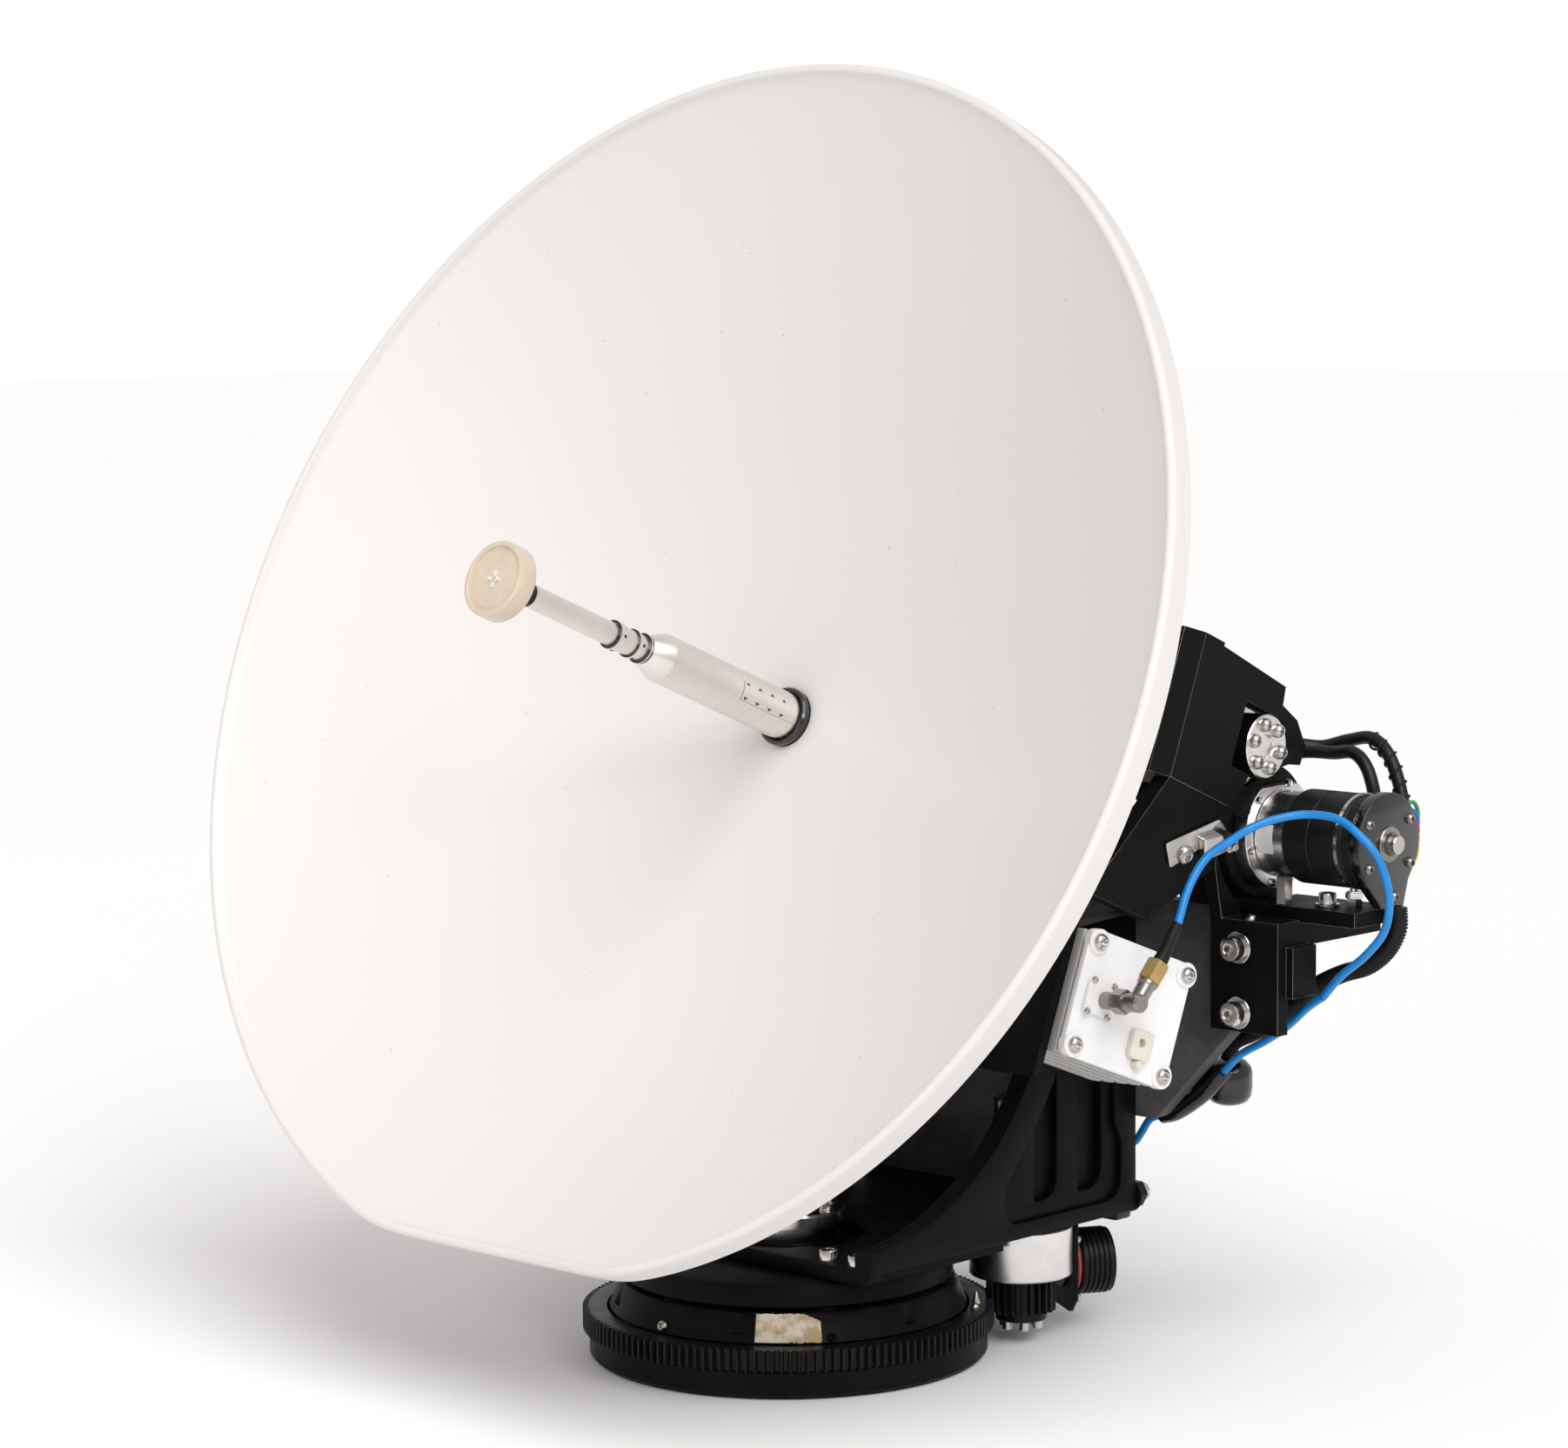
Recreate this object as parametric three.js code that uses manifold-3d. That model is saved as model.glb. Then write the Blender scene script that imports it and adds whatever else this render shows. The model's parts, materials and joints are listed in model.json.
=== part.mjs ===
// Stabilised dish antenna on an azimuth-over-elevation pedestal, shown without its radome.
// Millimetres and degrees, +Z up. The origin is the azimuth axis on the underside of the base plate.
// The dish looks along -Y at rest, the elevation axis runs along X, and the drives sit on the +X side.
import * as THREE from "three";
import { ConvexGeometry } from "three/addons/geometries/ConvexGeometry.js";
import { mergeVertices } from "three/addons/utils/BufferGeometryUtils.js";
import Module from "manifold-3d";

const wasm = await Module();
wasm.setup();

// ---------------------------------------------------------------- driving dimensions
const GAP = 0.3; // clearance between pieces that touch

const base = { radius: 73.5, height: 10, chamfer: 1.5 };
const azGear = { teeth: 150, module: 1, bottom: 10.3, top: 18, bore: 67 };
const bearingRing = {
  bottom: 18.3,
  top: 28.5,
  radius: 66,
  topRadius: 61.5,
  bore: 50,
  scallops: 6,
  firstScallop: -3,
  scallopRadius: 4.2,
};
const turntable = { radius: 61, bottom: 30, top: 38.7, hub: 33.5, bore: 21 };
const fork = { bottom: 39, top: 44.5, front: -31, middle: 46, rear: 111, halfWidth: 66.5 };
const cheek = {
  inner: 66.8,
  outer: 75,
  bottom: 44.8,
  top: 158,
  pocket: 2.5,
  slotDepth: 5.8,
  slots: [[55, 68], [80, 93.5]],
  slotBottom: 56.5,
  slotCorner: 8.5,
};
const azDrive = { teeth: 24, angle: 50, gearBottom: 12, gearTop: 24.6, gearboxRadius: 19.2 };

const elevationAxis = { y: 104, z: 225 };
const boresight = 22.43; // dish elevation at rest
const rimFromAxis = { up: -30.2, front: 173.1 }; // rim centre from the elevation axis, in dish directions
const arm = { inner: 98, plate: 111, outer: 130, bore: 16.3 };
const sector = { teeth: 70, module: 1, inner: 86, outer: 96, from: -78, to: 30, heel: 21 };
const elDrive = { teeth: 20, angle: -51.7, motorRadius: 17.3, flange: 120.3, end: 175 };

const dish = { radius: 225, depth: 76, skin: 2.2, lip: 9.5, lipThick: 2.4, chord: 217.4, bore: 10.8 };
const cradle = { front: -119, back: -123, side: 140, wall: 7, inner: 104 };
const polGear = { teeth: 24, pinionTeeth: 12, module: 1.4, front: -126, back: -132 };
const feed = {
  tube: 8.85,
  collar: 5.4,
  guide: 4.2,
  hat: 13.7,
  rear: -142,
  taper: -4.5,
  taperEnd: 3.4,
  hatBack: 73.2,
  tip: 80.8,
};
const box = { height: 46, width: 49.5, depth: 40, lid: 3, turn: -11.5 };
const coax = { radius: 1.5 };

// ---------------------------------------------------------------- materials
const finish = (color, roughness, metalness) =>
  new THREE.MeshStandardMaterial({ color, roughness, metalness });
const black = finish(0x17171a, 0.55, 0.4); // black anodised aluminium
const blackPlastic = finish(0x121214, 0.4, 0);
const steel = finish(0xb9b4ab, 0.3, 1);
const aluminium = finish(0xc9cacc, 0.35, 1);
const whitePaint = finish(0xece9e4, 0.5, 0);
const cream = finish(0xd9cdb8, 0.35, 0);
const brass = finish(0xc79a45, 0.3, 1);
const gunmetal = finish(0x6d675f, 0.35, 1);
const blueJacket = finish(0x1487e0, 0.4, 0);

// ---------------------------------------------------------------- solids
const rad = THREE.MathUtils.degToRad;

// Makes a closed geometry into a solid whose faces point out.
function solid(geometry) {
  const g = geometry.index ? geometry : geometry.clone();
  g.deleteAttribute("normal");
  g.deleteAttribute("uv");
  const merged = mergeVertices(g, 1e-4);
  const at = merged.attributes.position.array;
  const faces = [];
  for (let i = 0; i < merged.index.count; i += 3) {
    const [a, b, c] = merged.index.array.slice(i, i + 3);
    if (a !== b && b !== c && c !== a) faces.push([a, b, c]);
  }
  const make = (list) => {
    const vertProperties = Float32Array.from(at);
    const triVerts = Uint32Array.from(list.flat());
    return new wasm.Manifold(new wasm.Mesh({ numProp: 3, vertProperties, triVerts }));
  };
  const made = make(faces);
  return made.volume() < 0 ? make(faces.map(([a, b, c]) => [a, c, b])) : made;
}

function geometryOf(made) {
  const mesh = made.getMesh();
  const points = new Float32Array(mesh.numVert * 3);
  for (let i = 0; i < mesh.numVert; i++) {
    points.set(mesh.vertProperties.subarray(i * mesh.numProp, i * mesh.numProp + 3), i * 3);
  }
  const g = new THREE.BufferGeometry();
  g.setAttribute("position", new THREE.BufferAttribute(points, 3));
  g.setIndex(new THREE.BufferAttribute(Uint32Array.from(mesh.triVerts), 1));
  g.computeVertexNormals();
  return g;
}

// A solid of revolution. Its profile lists [radius, height] and is closed here if it leaves the axis.
// The axis is a direction through "at", and heights count along it.
function turned(profile, { segments = 24, axis = [0, 0, 1], at = [0, 0, 0] } = {}) {
  const first = profile[0];
  const closes = first[0] > 0;
  const points = [...profile, ...(closes ? [first] : [])].map(([r, h]) => new THREE.Vector2(r, h));
  const g = new THREE.LatheGeometry(points, segments);
  const direction = new THREE.Vector3(...axis).normalize();
  g.applyQuaternion(new THREE.Quaternion().setFromUnitVectors(new THREE.Vector3(0, 1, 0), direction));
  g.translate(...at);
  return solid(g);
}

const rod = (r, from, to, options) => turned([[0, from], [r, from], [r, to], [0, to]], options);
const ring = (inner, outer, from, to, options) =>
  turned([[inner, from], [outer, from], [outer, to], [inner, to]], options);

// A block between two corners, in any order of corners.
function block(a, b) {
  const size = a.map((v, i) => Math.abs(b[i] - v));
  const g = new THREE.BoxGeometry(...size);
  g.translate(...a.map((v, i) => (v + b[i]) / 2));
  return solid(g);
}

// Maps an outline's two coordinates and its thickness onto the axes: "x" takes (y, z), "y" takes (x, z)
// and "z" takes (x, y).
const [alongX, alongY, alongZ] = [[1, 0, 0], [0, 1, 0], [0, 0, 1]].map((v) => new THREE.Vector3(...v));
const planes = {
  x: new THREE.Matrix4().makeBasis(alongY, alongZ, alongX),
  y: new THREE.Matrix4().makeBasis(alongX, alongZ, alongY),
  z: new THREE.Matrix4(),
};

function slab(outline, plane, from, to, segments = 10) {
  const isShape = outline instanceof THREE.Shape;
  const shape = isShape ? outline : new THREE.Shape(outline.map(([a, b]) => new THREE.Vector2(a, b)));
  const settings = { depth: to - from, bevelEnabled: false, curveSegments: segments };
  const g = new THREE.ExtrudeGeometry(shape, settings);
  g.translate(0, 0, from);
  g.applyMatrix4(planes[plane]);
  return solid(g);
}

// A slot or pocket outline: a rectangle with round corners.
function rounded(x0, y0, x1, y1, r) {
  const s = new THREE.Shape();
  s.absarc(x1 - r, y0 + r, r, -Math.PI / 2, 0);
  s.absarc(x1 - r, y1 - r, r, 0, Math.PI / 2);
  s.absarc(x0 + r, y1 - r, r, Math.PI / 2, Math.PI);
  s.absarc(x0 + r, y0 + r, r, Math.PI, 1.5 * Math.PI);
  s.closePath();
  return s;
}

// A gear's outline, with one tooth centred on the angle "phase". Where "arc" is given, teeth fill only
// that range of degrees and the heel radius closes the rest.
function gearOutline(teeth, module, phase, arc = null, heel = 0) {
  const pitch = (2 * Math.PI) / teeth;
  const root = (teeth * module) / 2 - 1.2 * module;
  const tip = (teeth * module) / 2 + module;
  const halfRoot = 0.27 * pitch;
  const halfTip = 0.11 * pitch;
  const polar = (r, a) => [r * Math.cos(a), r * Math.sin(a)];
  const points = [];
  for (let k = 0; k < teeth; k++) {
    const a = rad(phase) + k * pitch;
    const turn = THREE.MathUtils.euclideanModulo(THREE.MathUtils.radToDeg(a) - (arc ? arc[0] : 0), 360);
    if (arc && turn > arc[1] - arc[0]) {
      points.push({ turn, at: [polar(heel, a)] });
      continue;
    }
    const rising = [polar(root, a - halfRoot), polar(tip, a - halfTip)];
    const falling = [polar(tip, a + halfTip), polar(root, a + halfRoot)];
    points.push({ turn, at: [...rising, ...falling] });
  }
  return points.sort((a, b) => a.turn - b.turn).flatMap((p) => p.at);
}

// A gear about the X axis whose toothed outline lies in the YZ plane.
const gearX = (outline, y, z, from, to) => slab(outline.map(([a, b]) => [a + y, b + z]), "x", from, to);

// A round tube along a smooth curve through the points.
function tube(points, radius, steps, sides = 8) {
  const route = points.map((p) => new THREE.Vector3(...p));
  const path = new THREE.CatmullRomCurve3(route, false, "centripetal");
  const section = new THREE.Shape();
  for (let i = 0; i < sides; i++) {
    const a = (i / sides) * 2 * Math.PI;
    section[i ? "lineTo" : "moveTo"](radius * Math.cos(a), radius * Math.sin(a));
  }
  section.closePath();
  return solid(new THREE.ExtrudeGeometry(section, { steps, extrudePath: path, bevelEnabled: false }));
}

const hull = (points) => solid(new ConvexGeometry(points.map((p) => new THREE.Vector3(...p))));

// ---------------------------------------------------------------- the assembly's groups
const antenna = new THREE.Group();
const stationary = new THREE.Group();
const azimuth = new THREE.Group();
const dishFrame = new THREE.Group(); // X as the part, Y up the dish, Z along the boresight from the rim plane
antenna.add(stationary, azimuth, dishFrame);
dishFrame.rotation.x = rad(90 - boresight);
const up = new THREE.Vector3(0, Math.sin(rad(boresight)), Math.cos(rad(boresight)));
const ahead = new THREE.Vector3(0, -Math.cos(rad(boresight)), Math.sin(rad(boresight)));
dishFrame.position
  .set(0, elevationAxis.y, elevationAxis.z)
  .addScaledVector(up, rimFromAxis.up)
  .addScaledVector(ahead, rimFromAxis.front);

function piece(group, name, material, made) {
  const mesh = new THREE.Mesh(geometryOf(made), material);
  mesh.name = name;
  group.add(mesh);
}

// ---------------------------------------------------------------- stationary base
function makeBase() {
  const { radius: r, height: h, chamfer: c } = base;
  const plate = turned([[0, 0], [r - c, 0], [r, c], [r, h], [0, h]], { segments: 40 });
  piece(stationary, "base_plate", black, plate);

  const teeth = slab(gearOutline(azGear.teeth, azGear.module, azDrive.angle), "z", azGear.bottom, azGear.top);
  const bore = rod(azGear.bore, azGear.bottom - 1, azGear.top + 1, { segments: 40 });
  piece(stationary, "azimuth_ring_gear", black, teeth.subtract(bore));

  const b = bearingRing;
  const section = [[b.bore, b.bottom], [b.radius, b.bottom], [b.topRadius, b.top], [b.bore, b.top]];
  let cone = turned(section, { segments: 40 });
  for (let i = 0; i < b.scallops; i++) {
    const a = rad((i * 360) / b.scallops + b.firstScallop);
    const at = [(b.radius + 1) * Math.cos(a), (b.radius + 1) * Math.sin(a), 0];
    cone = cone.subtract(rod(b.scallopRadius, b.bottom + 2.5, b.top + 1, { segments: 10, at }));
  }
  piece(stationary, "bearing_ring", black, cone);
  const race = ring(43.8, b.bore - GAP, b.bottom, b.top - 1, { segments: 28 });
  piece(stationary, "azimuth_bearing_outer", steel, race);
  piece(stationary, "slip_ring_stator", steel, rod(13, h + GAP, 42.5, { segments: 24 }));
}

// ---------------------------------------------------------------- turntable and fork
function makeTurntable() {
  const t = turntable;
  const profile = [
    [t.bore, 20],
    [t.hub, 20],
    [t.hub, t.bottom],
    [t.radius, t.bottom],
    [t.radius, t.top - 2],
    [t.radius - 2, t.top],
    [t.bore, t.top],
  ];
  piece(azimuth, "turntable", black, turned(profile, { segments: 36 }));
  piece(azimuth, "azimuth_bearing_inner", steel, ring(t.hub + GAP, 43.2, 19, 29.5, { segments: 28 }));

  const f = fork;
  const outline = [
    [-f.halfWidth, f.front],
    [f.halfWidth, f.front],
    [f.halfWidth, f.middle],
    [29.5, f.middle],
    [23.5, f.rear],
    [-f.halfWidth, f.rear],
  ];
  const hole = rod(28.5, f.bottom - 1, f.top + 1, { segments: 28 });
  piece(azimuth, "fork_base", black, slab(outline, "z", f.bottom, f.top).subtract(hole));

  const cap = [[0, 43], [18, 43], [18, 49.5], [21.5, 49.5], [21.5, 53.4], [20.8, 54.2], [0, 54.2]];
  piece(azimuth, "slip_ring_cap", aluminium, turned(cap, { segments: 28 }));
  piece(azimuth, "slip_ring_rotor", black, ring(15, t.bore - GAP, 22, 42.6));
}

// The window milled into a side plate, with round lower corners and a front edge that follows the plate's.
function cheekWindow() {
  const s = new THREE.Shape();
  s.moveTo(36, 65.5);
  s.quadraticCurveTo(33.6, 50.8, 43.5, 50.8);
  s.lineTo(93, 50.8);
  s.quadraticCurveTo(102.4, 50.8, 102.4, 60);
  const rest = [
    [102.4, 72.5], [98.6, 79.5], [98.6, 146], [76.6, 146], [73.5, 125], [63.6, 100.4], [51.7, 83.2],
  ];
  for (const [y, z] of rest) s.lineTo(y, z);
  s.closePath();
  return s;
}

// A deeper slot inside the window, with a large round corner at its lower rear end.
function cheekSlot(front, rear) {
  const s = new THREE.Shape();
  const { slotBottom: bottom, slotCorner: corner } = cheek;
  s.moveTo(front, bottom);
  s.lineTo(rear - corner, bottom);
  s.quadraticCurveTo(rear, bottom, rear, bottom + corner);
  s.lineTo(rear, cheek.top);
  s.lineTo(front, cheek.top);
  s.closePath();
  return s;
}

// One side plate of the fork, with its concave front edge and a window between ribs.
function makeCheek(name, side) {
  const c = cheek;
  const arc = { y: -39, z: 155, r: 102 };
  const s = new THREE.Shape();
  s.moveTo(-36, c.bottom - 1.4);
  s.lineTo(-31, c.bottom - 1.4);
  s.lineTo(-31, c.bottom);
  s.lineTo(fork.rear, c.bottom);
  s.lineTo(fork.rear, c.top);
  const start = Math.acos((63 - arc.y) / arc.r);
  s.absarc(arc.y, arc.z, arc.r, start, rad(-88.5), true);
  s.closePath();
  const [from, to] = side > 0 ? [c.inner, c.outer] : [-c.outer, -c.inner];
  let plate = slab(s, "x", from, to, 24);
  const sunk = (depth) => (side > 0 ? [c.outer - depth, c.outer + 1] : [-c.outer - 1, -c.outer + depth]);
  plate = plate.subtract(slab(cheekWindow(), "x", ...sunk(c.pocket)));
  for (const [front, rear] of c.slots) {
    const slot = slab(cheekSlot(front, rear), "x", ...sunk(c.slotDepth));
    plate = plate.subtract(slot.intersect(slab(cheekWindow(), "x", ...sunk(c.slotDepth))));
  }
  piece(azimuth, name, black, plate);
}

function makeFork() {
  makeCheek("cheek_right", 1);
  makeCheek("cheek_left", -1);

  const back = [
    [-119, 117], [-84, 80.5], [-66, 80.5], [-66, 39], [66, 39], [66, 80.5], [84, 80.5], [119, 117],
    [119, 150.4], [111, 150.4], [111, 164], [-111, 164], [-111, 150.4], [-119, 150.4],
  ];
  piece(azimuth, "rear_plate", black, slab(back, "y", fork.rear + GAP, fork.rear + 8));

  // Junction box behind the rear plate, with a right-angle plug on its right-hand side.
  piece(azimuth, "junction_box", black, block([28, 119.3, 84], [80, 147, 112]));
  const hood = rod(8.8, 85, 103, { at: [101, 134, 0], segments: 20 });
  const plugProfile = [[0, 80.3], [6.4, 80.3], [7.6, 82], [7.6, 90], [8, 90], [8, 100], [0, 100]];
  const plug = turned(plugProfile, { axis: [1, 0, 0], at: [0, 134, 94], segments: 20 });
  piece(azimuth, "rear_connector", blackPlastic, hood.add(plug));

  for (const [name, side] of [["arm_right", 1], ["arm_left", -1]]) makeArm(name, side);
  for (const [name, side] of [["elevation_bearing_right", 1], ["elevation_bearing_left", -1]]) {
    const [a, b] = side > 0 ? [100, 128] : [-128, -100];
    const at = [0, elevationAxis.y, elevationAxis.z];
    piece(azimuth, name, steel, ring(10.1, arm.bore - GAP, a, b, { axis: [1, 0, 0], at, segments: 24 }));
  }
  const rearBolt = rod(5, 111.3, 117, { axis: [0, 1, 0], at: [71, 0, 50], segments: 6 });
  const shank = rod(3.4, 116, 121, { axis: [0, 1, 0], at: [71, 0, 50], segments: 12 });
  piece(azimuth, "rear_bolt", steel, rearBolt.add(shank));
}

// One upright of the fork: a plate that carries a bearing housing on the elevation axis.
function makeArm(name, side) {
  const { y, z } = elevationAxis;
  const motor = motorAxis();
  const sided = (a, b) => (side > 0 ? [a, b] : [-b, -a]);
  const plate = [
    [119.4, 120], [146, 120], [156, 166], [157, 186], [150, 204], [136, 222], [131, 238], [120, 250],
    [90, 252], [76, 240], [74, 222], [82, 205], [98, 190], [108, 178], [108, 165], [119.4, 164.5],
  ];
  const housing = [
    [y - 24, z - 18], [y - 27, z + 6], [y - 19, z + 23], [y + 8, z + 24], [y + 33, z + 6], [y + 38, z - 4],
    [y + 30, z - 20], [y, z - 27],
  ];
  const around = { axis: [1, 0, 0], segments: 24 };
  let made = slab(plate, "x", ...sided(arm.inner, arm.plate));
  made = made.add(slab(housing, "x", ...sided(arm.inner, arm.outer)));
  made = made.subtract(rod(arm.bore, -140, 140, { ...around, at: [0, y, z] }));
  if (side > 0) {
    made = made.subtract(rod(25.5, arm.plate, 140, { ...around, at: [0, ...motor] }));
    made = made.subtract(rod(13, 90, 140, { ...around, at: [0, ...motor] }));
  }
  piece(azimuth, name, black, made);
}

// ---------------------------------------------------------------- azimuth drive and connectors
function makeAzimuthDrive() {
  const a = rad(azDrive.angle);
  const centre = ((azGear.teeth + azDrive.teeth) * azGear.module) / 2;
  const at = [centre * Math.cos(a), centre * Math.sin(a), 0];
  const here = { at, segments: 16 };

  const outline = gearOutline(azDrive.teeth, azGear.module, azDrive.angle + 180 + 180 / azDrive.teeth);
  const shifted = outline.map(([x, y]) => [x + at[0], y + at[1]]);
  const disc = rod(9.6, 8.6, azDrive.gearBottom, here);
  const neck = rod(5, azDrive.gearTop, 25.4, here);
  let pinion = slab(shifted, "z", azDrive.gearBottom, azDrive.gearTop).add(disc).add(neck);
  for (let i = 0; i < 6; i++) {
    const b = rad(i * 60 + 20);
    const boltAt = [at[0] + 6.6 * Math.cos(b), at[1] + 6.6 * Math.sin(b), 0];
    pinion = pinion.add(rod(1.9, 5.2, 9, { segments: 8, at: boltAt }));
  }
  piece(azimuth, "azimuth_pinion", steel, pinion);

  const r = azDrive.gearboxRadius;
  const shellProfile = [[0, 25.7], [r - 0.8, 25.7], [r, 26.5], [r, 44.2], [0, 44.2]];
  const shell = turned(shellProfile, { at, segments: 32 });
  piece(azimuth, "azimuth_gearbox", aluminium, shell);
  const shelf = [[30, 47], [66.5, 47], [66.5, 110.8], [24, 110.8]];
  piece(azimuth, "gearbox_plate", black, slab(shelf, "z", 44.8, 50));
  piece(azimuth, "azimuth_motor", blackPlastic, rod(10.4, 50.3, 92, here));

  // The round deck connector points outwards beside the gearbox.
  const b = rad(58.6);
  const outward = [Math.cos(b), Math.sin(b), 0];
  const along = { axis: outward, at: [0, 0, 25.5], segments: 16 };
  const holderOutline = [[-15, 14.5], [-9, 8.5], [13, 8.5], [15, 10.5], [15, 44.4], [-15, 44.4]];
  const holder = slab(holderOutline, "x", 0, 2);
  const holderGeometry = geometryOf(holder);
  holderGeometry.rotateZ(b);
  holderGeometry.translate(outward[0] * 106, outward[1] * 106, 0);
  const bore = rod(9.5, 100, 115, along);
  piece(azimuth, "connector_bracket", black, solid(holderGeometry).subtract(bore));
  const thread = [[0, 105], [9.2, 105], [9.2, 108.3], [10.8, 108.3], [10.8, 111], [12.5, 111]];
  for (const h of [113.2, 117.6]) thread.push([12.5, h], [11.7, h + 0.6], [11.7, h + 2], [12.5, h + 2.6]);
  thread.push([12.5, 124], [10, 124], [10, 122.4], [0, 122.4]);
  piece(azimuth, "deck_connector", black, turned(thread, along));
}

// ---------------------------------------------------------------- elevation drive
function motorAxis() {
  const a = rad(elDrive.angle);
  const distance = ((sector.teeth + elDrive.teeth) * sector.module) / 2;
  return [elevationAxis.y + distance * Math.cos(a), elevationAxis.z + distance * Math.sin(a)];
}

function makeElevationDrive() {
  const [y, z] = motorAxis();
  const along = (extra = {}) => ({ axis: [1, 0, 0], at: [0, y, z], segments: 24, ...extra });

  // L-shaped bracket: an upright facing forward and a shelf running back, with a curved gusset.
  const side = [[105, 119.5], [111, 119.5], [111, 151], [168, 151], [168, 160.6], [105, 160.6]];
  let bracket = slab(side, "x", 114.8, 145.4);
  const gusset = slab([[105, 160], [116, 160], [112, 176], [103.5, 192], [101, 180]], "x", 114.8, 120);
  const rib = block([137, 110, 133], [148.5, 124, 151.5]);
  const saddle = block([124, y - 14, 160], [170, y + 13, 165.4]);
  bracket = bracket.add(gusset.subtract(rod(30, 110, 125, along()))).add(rib).add(saddle);
  const screwAt = (height) => ({ axis: [0, 1, 0], at: [128, 0, height] });
  const screwHeights = [126.5, 150.5];
  for (const height of screwHeights) bracket = bracket.subtract(rod(2.9, 104, 112, screwAt(height)));
  piece(azimuth, "motor_bracket", black, bracket);
  screwHeights.forEach((height, i) => {
    const head = { ...screwAt(height), segments: 14 };
    const washer = rod(5.9, 103.4, 104.7, head);
    const screw = rod(4.5, 98.4, 103.5, head).add(washer).add(rod(2.4, 104, 110.8, head));
    piece(azimuth, "bracket_screw_" + (i + 1), steel, screw);
  });

  const mountRing = ring(11, 25, 111.4, elDrive.flange - GAP, along());
  piece(azimuth, "motor_mount_ring", black, mountRing);

  const flat = 17.5;
  let flange = rod(20.5, elDrive.flange, 126, along());
  flange = flange.intersect(block([119, y - 21, z - 21], [127, y + 21, z + flat]));
  piece(azimuth, "elevation_motor_flange", steel, flange);
  const r = elDrive.motorRadius;
  const can = [[0, 126.3], [16, 126.3], [16, 139], [r, 140], [r, 166], [r - 0.6, 169.7], [0, 169.7]];
  piece(azimuth, "elevation_motor", blackPlastic, turned(can, along()));
  const end = new THREE.Shape();
  end.absarc(y, z, 18.5, rad(-20), rad(200));
  end.lineTo(y - 13, z - 14);
  end.lineTo(y - 3, z - 23.5);
  end.lineTo(y + 9, z - 23.5);
  end.lineTo(y + 12, z - 14);
  end.closePath();
  const shaftEnd = rod(3.5, elDrive.end - 1, elDrive.end + 4.5, along({ segments: 16 }));
  piece(azimuth, "motor_end_plate", black, slab(end, "x", 170, elDrive.end).add(shaftEnd));

  const outline = gearOutline(elDrive.teeth, sector.module, elDrive.angle + 180 + 180 / elDrive.teeth);
  const shaft = rod(3.5, sector.outer - 1, 120, along({ segments: 16 }));
  const pinion = gearX(outline, y, z, sector.inner - 1, sector.outer + 1);
  piece(azimuth, "elevation_pinion", steel, pinion.add(shaft));
}

// ---------------------------------------------------------------- cradle, in the dish's own directions
function makeCradle() {
  const c = cradle;
  // Middle plate behind the reflector, wide above and narrower where the converter box hangs.
  const outline = [
    [-103.6, 57.5], [103.6, 57.5], [103.6, -45], [118, -45], [118, -109], [60, -109], [40, -60], [-40, -60],
    [-60, -109], [-118, -109], [-118, -45], [-103.6, -45],
  ];
  let plate = slab(outline, "z", c.back, c.front);
  plate = plate.subtract(rod(30, c.back - 1, c.front + 1, { segments: 36 }));
  for (const side of [-1, 1]) {
    const [a, b] = side > 0 ? [64, 92] : [-92, -64];
    plate = plate.subtract(slab(rounded(a, -28, b, 44, 9), "z", c.back - 1, c.front + 1, 4));
  }
  piece(dishFrame, "cradle_plate", black, plate);
  makeCradleSide("cradle_side_right", 1);
  makeCradleSide("cradle_side_left", -1);
}

// One side of the cradle: a front block, a thin side plate with a notch for the hub, and a sloping skirt.
function makeCradleSide(name, side) {
  const { side: outer, wall, inner, front } = cradle;
  const chamfer = [outer - 5, front];
  const bend = { v: 4, x: outer };
  const foot = { v: -42, x: outer - 18 };
  const at = (x, v, w) => [side * x, v, w];
  const blockEnds = [];
  for (const v of [bend.v, 57.5]) {
    blockEnds.push(at(inner, v, front), at(chamfer[0], v, front), at(outer, v, front - 6.5));
    blockEnds.push(at(outer, v, -137), at(inner, v, -137));
  }
  const plateEnds = [];
  const skirtEnds = [];
  for (const x of [outer, outer - wall]) {
    plateEnds.push(at(x, 56.6, -130), at(x, 54, -177), at(x, 47, -178));
    plateEnds.push(at(x, bend.v, -164), at(x, bend.v, -130));
    const shift = x - outer;
    const tail = THREE.MathUtils.lerp(bend.x, foot.x, 0.46) + shift;
    skirtEnds.push(at(x, bend.v + 0.5, front - 6.5), at(x, bend.v + 0.5, -164), at(tail, -17.5, -171));
    skirtEnds.push(at(foot.x + shift, foot.v, -154.3), at(foot.x + shift, foot.v, front - 0.5));
  }
  let made = hull(blockEnds).add(hull(plateEnds)).add(hull(skirtEnds));
  const [a, b] = side > 0 ? [outer - wall - 2, outer + 1] : [-outer - 1, -outer + wall + 2];
  made = made.subtract(block([a, 17.8, -185], [b, 42.2, -157]));
  for (const [v0, v1] of [[10, 26], [32, 52]]) {
    const [p, q] = side > 0 ? [inner + 5, chamfer[0] - 8] : [-chamfer[0] + 8, -inner - 5];
    made = made.subtract(slab(rounded(p, v0, q, v1, 4), "z", front - 12, front + 1, 4));
  }
  piece(dishFrame, name, black, made);
}

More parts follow.
